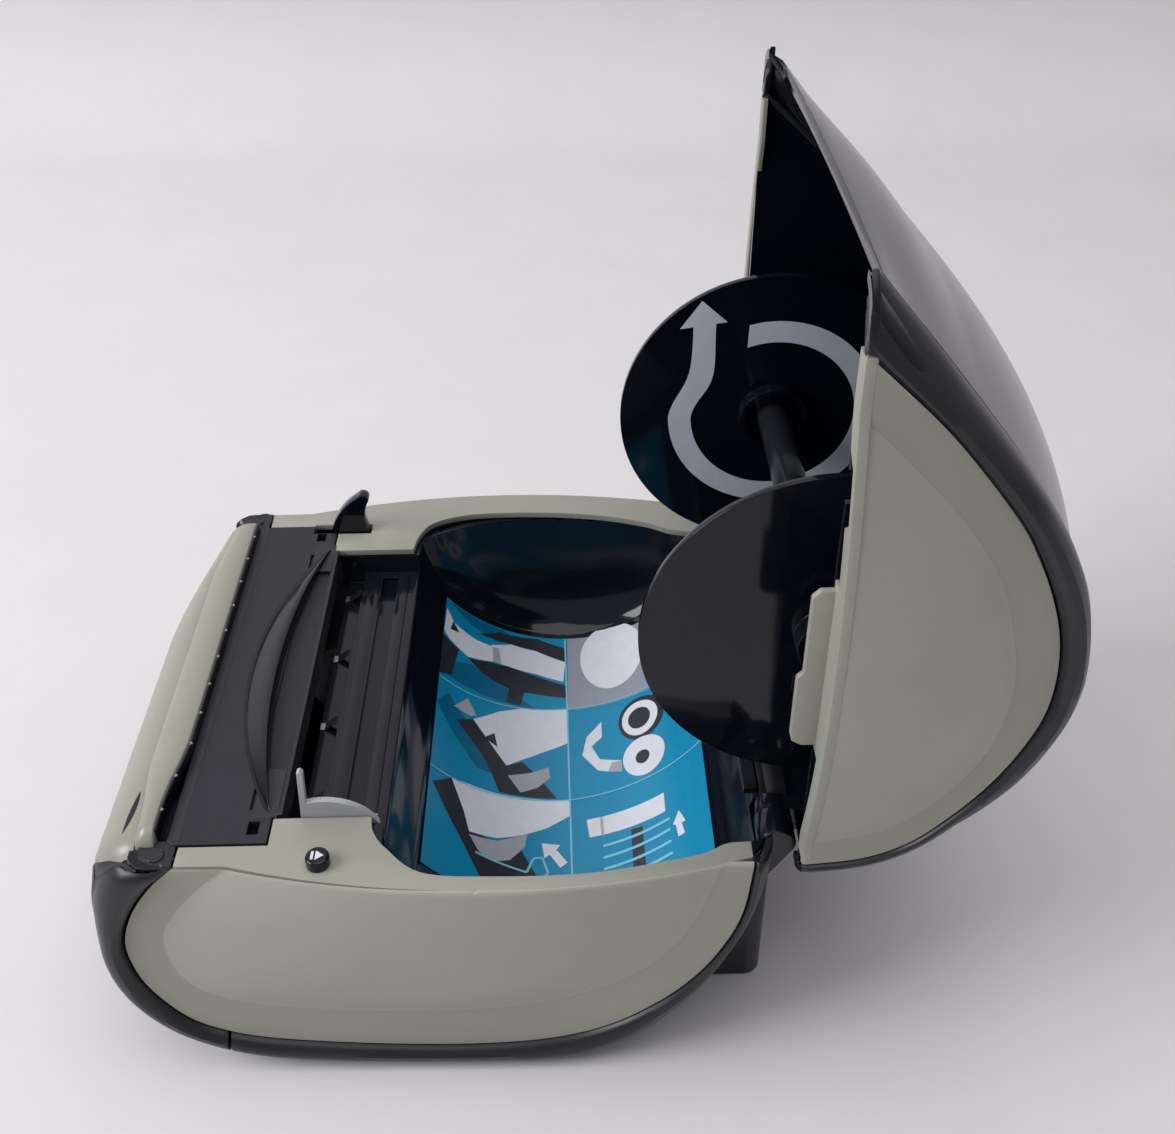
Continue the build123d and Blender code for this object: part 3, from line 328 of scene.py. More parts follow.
class Outline:
    """A side outline seen from the middle of its pillow; angle pi is the front rim, 0 the rear rim."""

    def __init__(self, points, middle):
        line = curve(points)
        self.middle = np.array(middle)
        self.sign = 1 if line[:, 1].mean() > middle[1] else -1
        angle = np.arctan2(self.sign * (line[:, 1] - middle[1]), line[:, 0] - middle[0])
        order = np.argsort(angle)
        self.angle, self.line = angle[order], line[order]

    def at(self, angle):
        """(y, z) on the outline at one angle or at many."""
        return np.stack([np.interp(angle, self.angle, self.line[:, i]) for i in (0, 1)], -1)

    def angle_where(self, axis, value, front=True):
        """Angle at which the outline reaches a value of y (axis 0) or z (axis 1)."""
        half = self.angle > pi / 2 if front else self.angle <= pi / 2
        gap = np.abs(self.line[:, axis] - value) + np.where(half, 0, 1e6)
        return self.angle[gap.argmin()]


def nose_line(x):
    """Height of the cover's front edge, arched over the tear bar."""
    return COVER_RIM + 4.3 * quarter_round(abs(x), 62.5, 71.5)


def seat_on_rim(mesh):
    """Trims the lower edge of an open cover piece, so that it clears the rim and the bar once closed.

    The open cover stands up: its height when closed is measured here along the model's y.
    """
    bar_y, hinge_y = -104, 40  # the tear bar lies before the first, the hinges behind the second
    for vertex in mesh.vertices:
        closed_y = HINGE_Y + HINGE_Z - (vertex.co.z * 1000 - RIM)
        lowest = SEAT_GAP
        if closed_y < bar_y:
            lowest = max(SEAT_GAP, nose_line(vertex.co.x * 1000) - 0.4)
        if closed_y < hinge_y:
            vertex.co.y = max(vertex.co.y * 1000, HINGE_Y - HINGE_Z + lowest) / 1000


def build(name, verts, faces, look, body, inside=None, replaces=(), thick=0.0, bevel=0.0, slot=None,
          seated=True):
    """Mesh piece from millimetre points, faced away from inside, thickened inwards and its edges eased.

    seated says whether a cover piece is trimmed to the rim.
    """
    mesh = bpy.data.meshes.new(name)
    mesh.from_pydata([tuple(v) for v in place(verts)], [], faces)
    work = bmesh.new()
    work.from_mesh(mesh)
    bmesh.ops.remove_doubles(work, verts=work.verts, dist=0.00001)
    bmesh.ops.delete(work, geom=[f for f in work.faces if f.calc_area() < 1e-12], context="FACES")
    loose = [v for v in work.verts if not v.link_faces]
    bmesh.ops.delete(work, geom=loose, context="VERTS")
    bmesh.ops.recalc_face_normals(work, faces=work.faces)
    if inside is not None:
        centre = Vector(place(inside))
        facing = sum(f.normal.dot(f.calc_center_median() - centre) * f.calc_area() for f in work.faces)
        if facing < 0:
            bmesh.ops.reverse_faces(work, faces=work.faces)
    work.to_mesh(mesh)
    work.free()
    obj = new_object(name, mesh)
    if thick:
        shell = obj.modifiers.new("thick", "SOLIDIFY")
        shell.thickness, shell.offset = thick / 1000, -1
    if bevel:
        soften(obj, bevel / 1000, 3, 38)
    if thick or bevel:
        finished = obj.evaluated_get(bpy.context.evaluated_depsgraph_get())
        made = bpy.data.meshes.new_from_object(finished)
        obj.modifiers.clear()
        obj.data = made
    if body == "cover" and seated:
        seat_on_rim(obj.data)
    obj.data.shade_smooth()
    obj.data.set_sharp_from_angle(angle=radians(32))
    obj.data.materials.clear()
    obj.data.materials.append(LOOKS[look])
    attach(obj, body)
    if replaces:
        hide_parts(*replaces)
    return obj


def grid_faces(rows, columns, keep=lambda i, j: True):
    """Four-sided faces between the rows and columns of a grid of points."""
    return [(i * columns + j, i * columns + j + 1, (i + 1) * columns + j + 1, (i + 1) * columns + j)
            for i in range(rows - 1) for j in range(columns - 1) if keep(i, j)]


def sheet(name, rows, look, body, inside, keep=lambda i, j: True, **more):
    """Thickened skin over a grid of points given as a list of equal rows."""
    points = np.asarray(rows, float)
    faces = grid_faces(points.shape[0], points.shape[1], keep)
    return build(name, points.reshape(-1, 3), faces, look, body, inside, **more)


def plate(name, outline, low, high, look, body, bevel=0.3, **more):
    """Flat plate between two heights with a plan outline of (x, y) points."""
    n = len(outline)
    verts = [(x, y, z) for z in (low, high) for x, y in outline]
    faces = [tuple(range(n)), tuple(range(2 * n - 1, n - 1, -1))]
    faces += [(i, (i + 1) % n, n + (i + 1) % n, n + i) for i in range(n)]
    return build(name, verts, faces, look, body, bevel=bevel, **more)


def rim_margin(y):
    """How far out the flat border of a side lies at the rim; the sides part a little to the rear."""
    return 79.2 + 0.02 * (y + 18)


def base_margin(y, z):
    """The same below the rim: a base side stands out a little more lower down."""
    return rim_margin(y) + 5.0 * (np.maximum(0, -z) / 68) ** 1.2


def cover_margin(y, z):
    """The same above the rim: a side of the closed cover leans in a little towards the top."""
    return rim_margin(y) - 1.2 * (z / 60) ** 2


BASE = {"band": Outline(BAND_BASE, BASE_MID), "panel": Outline(PANEL_BASE, BASE_MID),
        "field": Outline(FIELD_BASE, BASE_MID), "margin": base_margin}
COVER = {"band": Outline(BAND_COVER, COVER_MID), "panel": Outline(PANEL_COVER, COVER_MID),
         "field": Outline(FIELD_COVER, COVER_MID), "margin": cover_margin}
COVER_CORE = swung([(0, -20, 20)])[0]  # a point well inside the open cover


def rounded_in(depth, radius):
    """How far a rounded edge is drawn in at a depth below it."""
    left = np.clip(radius - depth, 0, radius)
    return radius - np.sqrt(radius**2 - left**2)


def pillow_rows(skin):
    """Grid of one side panel: flat border, soft crease, then the pillow up to its middle."""
    near = np.array([0, 0.004, 0.009, 0.015, 0.023, 0.034, 0.048])
    angles = np.concatenate([pi - near, np.linspace(pi - 0.066, 0.066, 112), near[::-1]])
    border, field, middle = skin["panel"].at(angles), skin["field"].at(angles), skin["field"].middle
    rows = [(field + (border - field) * share, 0.0) for share in (1.0, 0.985, 0.8, 0.5, 0.25, 0.05)]
    rows += [(middle + (field - middle) * s, BULGE * (1 - s**2))
             for s in (0.997, 0.96, 0.9, 0.8, 0.68, 0.55, 0.42, 0.3, 0.2, 0.1, 0.05, 0.024, 0.01, 0.0)]
    grid = []
    for yz, rise in rows:
        y, z = yz[:, 0], yz[:, 1]
        depth = np.abs(z - middle[1])
        x = skin["margin"](y, z) + rise - rounded_in(depth, RIM_ROUND)
        z = middle[1] + skin["panel"].sign * np.maximum(depth, 0.03)
        grid.append(np.stack([x, y, z], -1))
    return np.array(grid)


def rim_edge(skin, y):
    """Outermost x of a side at its rim, before the rounding."""
    line, mid = skin["field"].line, skin["field"].middle[0]
    front, rear = sorted((line[0, 0], line[-1, 0]))
    reach = np.where(y < mid, mid - front, rear - mid)
    share = np.minimum(1, np.abs(y - mid) / reach)
    return skin["margin"](y, 0.0) + BULGE * (1 - share**2)


def paint_field_light(obj, skin, is_open):
    """Paints the raised field inside the crease a lighter, glossier copy of the putty: painted light for the light
    that falls on its slopes.
    """
    obj.data.materials.append(LOOKS["putty_field_painted_light"])
    for face in obj.data.polygons:
        y, z = face.center.y * 1000, face.center.z * 1000 - RIM
        if is_open:
            y, z = HINGE_Y + HINGE_Z - z, HINGE_Z + y - HINGE_Y
        away = np.array([y, z]) - skin["field"].middle
        angle = np.arctan2(skin["field"].sign * away[1], away[0])
        edge = skin["field"].at(angle) - skin["field"].middle
        if np.hypot(*away) < np.hypot(*edge):
            face.material_index = 1


def bow(x, y):
    """How far the base's front is drawn back towards its left end."""
    return 8.5 * even(-x, 20, 74) ** 1.55 * even(-y, 104, 120)


def base_sides():
    """Side panels of the base: pillowed wall and the rim plate that lies over the base."""
    rows = pillow_rows(BASE)
    along = np.concatenate([np.linspace(46.6, -90, 60), [-97, -103.4]])
    slit = [(-69.4, -88), (-70.3, -88), (-70.3, -68.2), (-65, -68.2), (-65, -79.5)]  # for the head's lever
    for sign, opening, name, front in (
        (1, OPENING_RIGHT, "right_side_panel", [(70.4, -103.4), (70.4, -80.1), (61.4, -80.1)]),
        (-1, OPENING_LEFT, "left_side_panel", [(-69.4, -103.4), (-69.4, -79.5), (-55.5, -79.5)]),
    ):
        placed = rows * (sign, 1, 1)
        placed[..., 1] += bow(placed[..., 0], placed[..., 1])
        wall = sheet(f"{name}_wall", placed, "putty", "base", CORE, thick=WALL,
                     replaces=[name], slot="putty")
        paint_field_light(wall, BASE, False)
        outer = [(sign * (rim_edge(BASE, y) - RIM_ROUND + 0.4), y) for y in along]
        inner = [tuple(p) for p in curve(opening, 6)]
        if sign < 0:
            front = [front[0], *slit, front[2]]
        plate(f"{name}_rim", outer + front + inner, -WALL, 0, "putty", "base", 0.12,
              replaces=[name], slot="putty")


def mixed(first, second, share):
    """Section between two others, station by station."""
    return [tuple(np.array(a) + share * (np.array(b) - a)) for a, b in zip(first, second)]


def roll_at(skin, angle):
    """Section of the band at an angle: the cover's is full over the top and slim at nose and hinge."""
    if skin is BASE:
        return mixed(BASE_ROLL, SLIM_ROLL, 0.75 * np.interp(angle, (0.5, 1.25), (1, 0)))
    return mixed(SLIM_ROLL, FULL_ROLL, np.interp(angle, (0.6, 1.45, 2.35, 2.95), (0, 1, 1, 0.1)))


def band_point(skin, angle, number, sign=1):
    """Point on the rolled band: station number of its section at an angle."""
    share, stand = roll_at(skin, angle)[number]
    inner, outer = skin["panel"].at(angle), skin["band"].at(angle)
    grown = skin["panel"].middle + (inner - skin["panel"].middle) * CREASE
    y, z = grown + (outer - grown) * share
    x = skin["margin"](y, z) + stand
    if skin is BASE:
        return (sign * (x - rounded_in(-z, 3.2)), y, min(z, -0.05))
    return (sign * (x - 0.5 * rounded_in(z - COVER_RIM, 2.0)), y, z)


# The base's band from its right side to its left: both rolled edges and the flat between them.
BASE_STATIONS = [("roll", i, 1) for i in range(len(BASE_ROLL))]
BASE_STATIONS += [("flat", x) for x in (66, 62, 54, 44, 36, 18, 0, -18, -36, -44, -54, -62, -66)]
BASE_STATIONS += [("roll", i, -1) for i in reversed(range(len(BASE_ROLL)))]


def station_point(station, angle):
    """Point of the base's band at one of BASE_STATIONS and an angle."""
    if station[0] == "roll":
        x, y, z = band_point(BASE, angle, *station[1:])
    else:
        x, (y, z) = station[1], BASE["band"].at(angle)
    return (x, y + bow(x, y), z)


def seam_angle(station):
    """Angle at which a station of the base's band crosses the seam between its two mouldings."""
    low_angles = [a for a in np.linspace(2.0, 3.0, 300) if station_point(station, a)[2] < -40]
    gaps = [abs(station_point(station, a)[1] - SEAM_Y) for a in low_angles]
    return low_angles[int(np.argmin(gaps))]


def bezel_low(x):
    """Lower edge of the putty front strip; it sweeps up at both ends."""
    return -27 + 24 * even(abs(x), 0, 72.4) ** 5


def base_band():
    """Charcoal band round the base: front lower cover and bottom cover."""
    seams = [seam_angle(station) for station in BASE_STATIONS]
    front = []
    for station, seam in zip(BASE_STATIONS, seams):
        top = pi - SHORT
        if station[0] == "flat" or BASE_ROLL[station[1]][0] > 0.85:
            x = station_point(station, pi - 0.2)[0]
            top = BASE["band"].angle_where(1, min(bezel_low(x) - 0.4, -8 if abs(x) > 66.5 else 0))
        turns = [top - (top - seam - SHORT) * t**1.15 for t in np.linspace(0, 1, 46)]
        front.append([station_point(station, a) for a in turns])
    sheet("front_lower_cover_skin", front, "charcoal", "base", CORE, thick=SKIN, bevel=0.3,
          replaces=["front_lower_cover"], slot="charcoal")
    hinge_angle, hinge_row = BASE["band"].angle_where(1, -14, front=False), 69
    rows = []
    for station, seam in zip(BASE_STATIONS, seams):
        below = np.linspace(seam - SHORT, hinge_angle, hinge_row + 1)
        beside = np.linspace(hinge_angle, SHORT, 8)[1:]
        rows.append([station_point(station, a) for a in np.concatenate([below, beside])])

    def whole(i, j):
        """False in the two notches that the hinges turn in."""
        return not (j >= hinge_row and i in (len(BASE_ROLL) - 1, len(BASE_STATIONS) - len(BASE_ROLL) - 1))

    sheet("bottom_cover_skin", rows, "charcoal", "base", CORE, whole, thick=SKIN, bevel=0.3,
          replaces=["bottom_cover"], slot="charcoal")


def front_surface(x, z):
    """y of the band's outer face at x and about the height z, a touch proud.

    The outer part of the roll, from its widest station on, says how the face curves back at its ends.
    """
    angle = BASE["band"].angle_where(1, z)
    inner, outer = BASE["panel"].at(angle), BASE["band"].at(angle)
    depth = base_margin(outer[0], outer[1]) - abs(x)
    outer_roll = BASE_ROLL[4:]
    share = np.interp(depth, [-stand for s, stand in outer_roll], [s for s, stand in outer_roll])
    y = (inner + (outer - inner) * share)[0]
    return y + bow(x, y) - 0.15


def end_roll(x):
    """Height share of the raised bar, which rolls down at its two ends."""
    return quarter_round(abs(x), BAR_FLAT, BAR_HALF)


def crease_y(x):
    """Line where the bar meets the front strip; it draws in towards both ends."""
    return STRIP_CREASE + 2.4 * smooth(abs(x), 40, 66)


def end_pull(x):
    """Rounding in plan of the front strip's two ends."""
    return 4.6 * even(abs(x), 65.5, 73) ** 2.2


def strip_front(x):
    """Foremost y of the front strip's upper surface; its two ends are rounded off in plan."""
    return front_surface(x, -6.0) + end_pull(x)


def bar_rear(x):
    """Rear edge of the bar; it turns forward at the right end."""
    return BAR_REAR - BAR_TURN * smooth(x, 34, 58)


def strip_point(x, t):
    """Upper surface of the front strip, from the crease (t = 0) to its front face (t = 1)."""
    start, front = crease_y(x), strip_front(x)
    drop = 1.2 * (1 - end_roll(x))
    return (x, start + (front - start) * t, STRIP_TOP - drop - (STRIP_DROP - drop) * t**1.8)


def tube(name, sections, look, body, **more):
    """Solid through closed loops of equal length, capped at both ends."""
    points = np.asarray(sections, float)
    count, around = points.shape[:2]
    faces = [tuple(range(around)), tuple(range((count - 1) * around, count * around))]
    faces += [(i * around + j, i * around + (j + 1) % around, (i + 1) * around + (j + 1) % around,
               (i + 1) * around + j) for i in range(count - 1) for j in range(around)]
    return build(name, points.reshape(-1, 3), faces, look, body, **more)


def front_strip():
    """Putty strip across the front, below the tear bar."""
    end = np.array([69, 70, 70.8, 71.6, 72.2, 72.7, 73])
    rows = []
    for x in np.concatenate([-end[::-1], np.linspace(-68, 68, 45), end]):
        low = min(STRIP_EDGE, bezel_low(x))
        face = [(x, front_surface(x, z) + end_pull(x), z) for z in np.linspace(STRIP_EDGE, low, 16)]
        rows.append([strip_point(x, t) for t in np.linspace(0, 1, 14)] + face)
    sheet("front_bezel_skin", rows, "putty_gloss", "base", CORE, thick=1.6, bevel=0.4,
          replaces=["front_bezel"], slot="putty")


def tear_bar():
    """Raised bar above the front strip, with the blade behind it and the blade's teeth."""
    lip = [(0, BAR_FOOT), (0, 2.2), (-0.1, 3.1), (-0.4, 3.65), (-1, 3.92)]
    slope = [(0.3, 3.9), (0.55, 3.5), (0.75, 2.8), (0.9, 1.9), (1, 0.9)]
    ends = BAR_HALF - (BAR_HALF - BAR_FLAT) * (1 - np.cos(np.linspace(pi / 2, 0, 12)))
    sections = []
    for x in np.concatenate([-ends[::-1], np.linspace(-58, 58, 17), ends]):
        start, rear = crease_y(x), bar_rear(x)
        wide, lift = rear - BAR_LIP - start, 0.12 + 0.88 * end_roll(x)
        profile = [(rear + back, z) for back, z in lip]
        profile += [(rear - BAR_LIP - wide * share, z) for share, z in slope]
        profile += [(start + 0.4, -1), (start + 0.8, BAR_FOOT)]
        sections.append([(x, y, BAR_FOOT + (z - BAR_FOOT) * lift) for y, z in profile])
    tube("tear_bar_skin", sections, "putty_gloss", "base", replaces=["tear_bar"], slot="putty")
    edge = [(-0.3, BAR_FOOT), (-0.3, 3.0), (0.35, 3.0), (0.5, 2.6), (0.5, BAR_FOOT)]
    blade = [[(x, bar_rear(x) + back, z) for back, z in edge] for x in np.linspace(-67, 67, 40)]
    tube("tear_blade", blade, "black_gloss", "base", slot="black_gloss")
    for number, x in enumerate(range(-60, 61, 12)):
        rear = bar_rear(x)
        tooth = [[(x - 0.7, rear, z), (x + 0.7, rear, z), (x, rear + 0.9, z)] for z in (2.7, 3.2)]
        tube(f"tear_tooth_{number}", tooth, "putty_gloss", "base", bevel=0.1, slot="putty")


def lens():
    """Dark leaf-shaped status lens in the front strip beside the bar's right end."""
    rows = []
    for t in np.linspace(0, 1, 21):
        x, middle = 51 + 14 * t, -118 - 1.5 * t**1.5
        half = 0.85 * sin(pi * t) ** 0.8 + 0.02
        start, front = crease_y(x), strip_front(x)
        row = []
        for y in np.linspace(middle + half, middle - half, 7):
            x_at, y_at, z_at = strip_point(x, (y - start) / (front - start))
            row.append((x_at, y_at - 0.03, z_at + 0.05))
        rows.append(row)
    sheet("status_lens", rows, "black_gloss", "base", (60, -100, -20), thick=0.4,
          replaces=["status_light"], slot="black_gloss")


def cover_tube(name, profile, ends, look, **more):
    """Cover piece with one closed (y, z) profile between two values of x."""
    sections = [swung([(x, y, z) for y, z in profile]) for x in ends]
    tube(name, sections, look, "cover", **more)


def cover_walls():
    """Pillowed side panels of the cover, each with the lip that stands on the base's rim."""
    rows = pillow_rows(COVER)
    low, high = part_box("reverse_button")
    button_y = (low.y + high.y) * 500
    for sign, name in ((1, "cover_right_panel"), (-1, "cover_left_panel")):
        wall = sheet(f"{name}_wall", swung(rows * (sign, 1, 1)), "putty", "cover", COVER_CORE, thick=1.0,
                     bevel=0.3, replaces=[name], slot="putty")
        paint_field_light(wall, COVER, True)
        lip = []
        for y in np.concatenate([[-97.5, -94], np.linspace(-90, 48, 56)]):
            edge = float(rim_edge(COVER, y))
            deep = 4.7
            if sign > 0 and abs(y - button_y) < 7:
                deep = 1.3  # the closed cover stays clear of the reverse button
            neck = min(2.4, deep)
            profile = ((-0.15, 3.2), (0.06, 2.95), (0.08, 1.5), (-0.1, 0.75), (-0.9, SEAT_GAP),
                       (0.3 - deep, SEAT_GAP), (-deep, 0.8), (-deep, 1.8), (-neck, 2.2), (-1.2, 3.2))
            lip.append(swung([(sign * (edge + out), y, z) for out, z in profile]))
        tube(f"{name}_lip", lip, "putty", "cover", slot="putty")


def cover_bands():
    """Rolled charcoal bands beside the cover's top, each with a small corner piece at the front."""
    joint_x = 66.25  # where a band meets the top shell
    corner = [(71, -113.4), (74.2, -110.6), (77.2, -105.6), (78.3, -98.4), (74.6, -98.2), (72.4, -104),
              (71, -106.4)]
    for sign, side in SIDES:
        rows = []
        for number in range(len(SLIM_ROLL)):
            start = COVER["band"].angle_where(1, nose_line(band_point(COVER, 2.9, number)[0]) + 0.3)
            angles = np.linspace(min(start, pi - SHORT), SHORT, COVER_STEPS)
            rows.append([band_point(COVER, a, number, sign) for a in angles])
        angles = np.linspace(COVER["band"].angle_where(1, nose_line(66.3)), SHORT, COVER_STEPS)
        rows.append([(sign * joint_x, *COVER["band"].at(a)) for a in angles])
        last = len(rows) - 1
        sheet(f"cover_band_{side}", swung(rows), "charcoal", "cover", COVER_CORE,
              lambda i, j: not (i >= last - 2 and j == COVER_STEPS - 2), thick=SKIN, bevel=0.3,
              replaces=["cover_band"], slot="charcoal")
        sections = [swung([(sign * x, y, z) for x, y in corner]) for z in (0.62, 2.6)]
        tube(f"cover_corner_{side}", sections, "black_satin", "cover", bevel=0.3, slot="charcoal")


def cover_top():
    """Crowned top shell of the cover, cut away over the hinges."""
    columns = [-65.8, -65.3, -63, *np.linspace(-60, 60, 21), 63, 65.3, 65.8]
    centre_y, centre_z = -20, 8  # the crown rises away from here
    rows = []
    for x in columns:
        line = []
        for a in np.linspace(COVER["band"].angle_where(1, nose_line(x)), SHORT, COVER_STEPS):
            y, z = COVER["band"].at(a)
            reach = np.hypot(y - centre_y, z - centre_z)
            front = even(y, -112, -86)
            rise = TOP_BOW * (1 - (x / TOP_HALF) ** 2) * front * (2 - front) * even(-y, -50, 10) ** 0.5
            line.append((x, y + (y - centre_y) / reach * rise * 0.5,
                         z + max(0.35, (z - centre_z) / reach) * rise))
        rows.append(line)
    sheet("cover_top_skin", swung(rows), "top_shell", "cover", COVER_CORE,
          lambda i, j: not (abs(columns[i] + columns[i + 1]) > 122 and j == COVER_STEPS - 2), thick=SKIN,
          bevel=0.35, replaces=["cover_top_shell"], slot="top_shell")


def cover_edges():
    """Flap between the hinges, and the ledge and skirt tab low on the cover's right side."""
    flap = [(54.6, 1.5), (60.4, 1.5), (60.4, -4.6), (54.6, -4.6)]
    cover_tube("cover_rear_flap", flap, (-53, 53), "black_satin", bevel=0.3, slot="charcoal")
    ledge = [(-42, 0.42), (-42, 1.6), (10, 1.6), (10, 0.42)]
    cover_tube("cover_tab_ledge", ledge, (77.4, 84), "putty", bevel=0.2, slot="putty")
    tab = [(-40, 3), (8, 3), (8, -3), (6.5, -5.4), (4, -6), (-14, -6), (-15.5, -4.6), (-38, -4.6),
           (-40, -2.8)]
    cover_tube("cover_skirt_tab", tab, (77.4, 79.1), "putty", bevel=0.5, replaces=["cover_right_panel"],
               slot="putty", seated=False)


# ---------------- deck details
def arc(a, b, c, count):
    """Points on the circle through three plan points, from the first to the last."""
    a, b, c = (np.array(point, float) for point in (a, b, c))
    middle = np.linalg.solve(2 * np.array([b - a, c - a]), [b @ b - a @ a, c @ c - a @ a])
    start, end = (np.arctan2(*(point - middle)[::-1]) for point in (a, c))
    turn = np.linspace(start, end, count)
    return middle + np.hypot(*(a - middle)) * np.stack([np.cos(turn), np.sin(turn)], -1)


def grip():
    """Crescent finger grip: a long rise, a crest and a steep inner side; outside it a flat dark strip is painted
    shade for the groove that runs round it.
    """
    below = (2, -90, -20)
    outer = arc((59.5, -81.6), (2, -96.2), (-55.5, -80.8), GRIP_STEPS + 1)
    inner = arc((59.5, -81.4), (2, -87.4), (-55.5, -80.6), GRIP_STEPS + 1)
    profile = [(0.0, 0.0), (0.06, 0.35), (0.2, 0.9), (0.45, 1.9), (0.68, 2.75), (0.8, 2.95), (0.88, 2.8),
               (0.94, 2.1), (0.98, 1.0), (1.0, -0.1)]
    rows = []
    for i, (out, in_) in enumerate(zip(outer, inner)):
        tall = sin(pi * i / GRIP_STEPS) ** 0.45
        rows.append([(*(out + (in_ - out) * across), 0.32 + high * tall) for across, high in profile])
    sheet("finger_grip_skin", rows, "grip", "base", below, replaces=["finger_grip"], slot="black_matte")
    # flat dark glossy strip along the outer edge: painted shade for the groove, which is not cut into the deck
    groove_shade = []
    for out, in_ in zip(outer, inner):
        away = (out - in_) / max(0.5, np.hypot(*(out - in_)))
        groove_shade.append([(*(out + away * step), 0.33) for step in (-0.3, 0.9)])
    sheet("finger_grip_painted_groove_shade", groove_shade, "black_gloss", "base", below, slot="black_gloss")


def corner_trim():
    """At each side: the plate in the front corner, the ring round its boss and the hinge pin's cap."""
    corner = [(68.2, -104.2), (76.6, -104.2), (75.6, -110), (73.6, -113.2), (68.2, -114.2)]
    ring_section = [(2.36, -0.2), (2.36, 0.26), (2.2, 0.34), (2.0, 0.26), (2.0, -0.2)]  # radius, height
    boss_x, boss_y = 72.9, -108.9
    for sign, side in SIDES:
        outline = [(sign * x, y) for x, y in corner]
        plate(f"corner_plate_{side}", outline, -0.6, -0.12, "black_matte", "base", 0.1, slot="black_matte")
        ring = []
        for turn in np.linspace(0, 2 * pi, 41):
            c, s = np.cos(turn), np.sin(turn)
            ring.append([(sign * boss_x + c * r, boss_y + s * r, z) for r, z in ring_section])
        tube(f"corner_ring_{side}", ring, "black_satin", "base", slot="black_matte")
        cap = []
        for x, r in ((70.5, 5.1), (70.9, 4.8)):
            cap.append([(sign * x, HINGE_Y + r * np.cos(t), HINGE_Z + r * np.sin(t))
                        for t in np.linspace(0, 2 * pi, 33)[:-1]])
        tube(f"hinge_cap_{side}", cap, "black_satin", "base", slot="black_gloss")


def corner_shoulders():
    """Rounded charcoal corners in front of the two corner plates."""
    start_y, start_z, end_z = -112.8, -0.8, -8.6
    for sign, side in SIDES:
        rows = []
        for x in np.linspace(67, 77.4, 13):
            foot = front_surface(sign * x, end_z) + 0.3
            bulge = -3.5 + 2.6 * even(x, 72, 77)
            row = []
            for t in np.linspace(0, 1, 11):
                first, middle, last = (1 - t) ** 2, 2 * t * (1 - t), t * t
                row.append((sign * x, start_y * first + (foot + 3.4) * middle + foot * last,
                            start_z * first + bulge * middle + end_z * last))
            rows.append(row)
        sheet(f"corner_shoulder_{side}", rows, "charcoal", "base", (0, -60, -40), thick=0.8, slot="charcoal")


def deck_plates():
    """Plate between print head and tear bar, ground beside the grip and ledge behind the well."""
    lead = [(-68.8, -106.9), (68.4, -106.9), (69.8, -105.5), (69.8, -103.5), (-68.8, -103.5)]
    plate("print_plate_lead", lead, -1.2, 0.3, "black_matte", "base", 0.3, slot="black_matte")
    for side, x0, x1 in (("right", 44, 61.2), ("left", -58, -44)):
        outline = [(x0, -86), (x1, -86), (x1, -79.3), (x0, -79.3)]
        plate(f"grip_ground_{side}", outline, -0.4, 0.31, "black_matte", "base", 0, slot="black_matte")
    profile = [(49, -12.8), (57.4, -12.8), (58.2, -14), (57, -24), (49, -36)]
    ledge = [[(x, y, z) for y, z in profile] for x in (-50, 50)]
    tube("rear_ledge", ledge, "black_satin", "base", bevel=0.4, slot="charcoal")


def feed_ribs():
    """Low glossy ribs across the ramp that the labels run up."""
    front = [(-68.3, -10.4), (-68, -9.95), (-67.2, -9.75), (-65.9, -9.66), (-64.8, -9.75), (-64.3, -9.98),
             (-64.1, -10.3)]
    rear = [(-58.2, -10.3), (-58, -9.95), (-57, -9.7), (-55.6, -9.66), (-54.8, -9.8), (-54.6, -10.05),
            (-54.4, -9.8), (-53, -9.72), (-51.6, -9.85), (-51, -10.2)]
    for name, profile in (("front", front), ("rear", rear)):
        rows = [[(x, y, z) for y, z in profile] for x in np.linspace(-53.6, 59.6, 3)]
        sheet(f"ramp_{name}", rows, "black_gloss", "base", (0, -60, -30), thick=0.25, slot="black_gloss")


def roll_shaft():
    """Glossy sleeve on the spool's shaft, which hangs in the open cover; its black is the shaft's own, painted a
    little lighter as painted light for the light that the shaft catches.
    """
    turn = np.linspace(0, 2 * pi, 49)[:-1]
    sleeve = []
    for x, r in ((-55.9, SHAFT_R), (47.9, SHAFT_R), (47.9, SHAFT_R - 0.12), (-55.9, SHAFT_R - 0.12)):
        circle = [np.full(len(turn), x), WELL_Y + r * np.cos(turn), WELL_Z + r * np.sin(turn)]
        sleeve.append(swung(np.stack(circle, -1)))
    tube("spool_shaft_skin", sleeve, "shaft", "spool", slot="black_gloss")


def button_symbol():
    """White bar and triangle on the reverse button."""
    low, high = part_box("reverse_button")
    x, y = (low.x + high.x) * 500, (low.y + high.y) * 500
    top = high.z * 1000 - RIM + 0.02
    verts = [(x + dx, y + dy, top) for dx, dy in ((-1.3, -1.6), (1.3, -1.6), (1.3, -0.9), (-1.3, -0.9),
                                                 (-1.5, -0.4), (1.5, -0.4), (0, 1.8))]
    build("reverse_button_symbol", verts, [(0, 1, 2, 3), (4, 5, 6)], "print_white", "reverse_button",
          (x, y, -20), slot="print_grey")


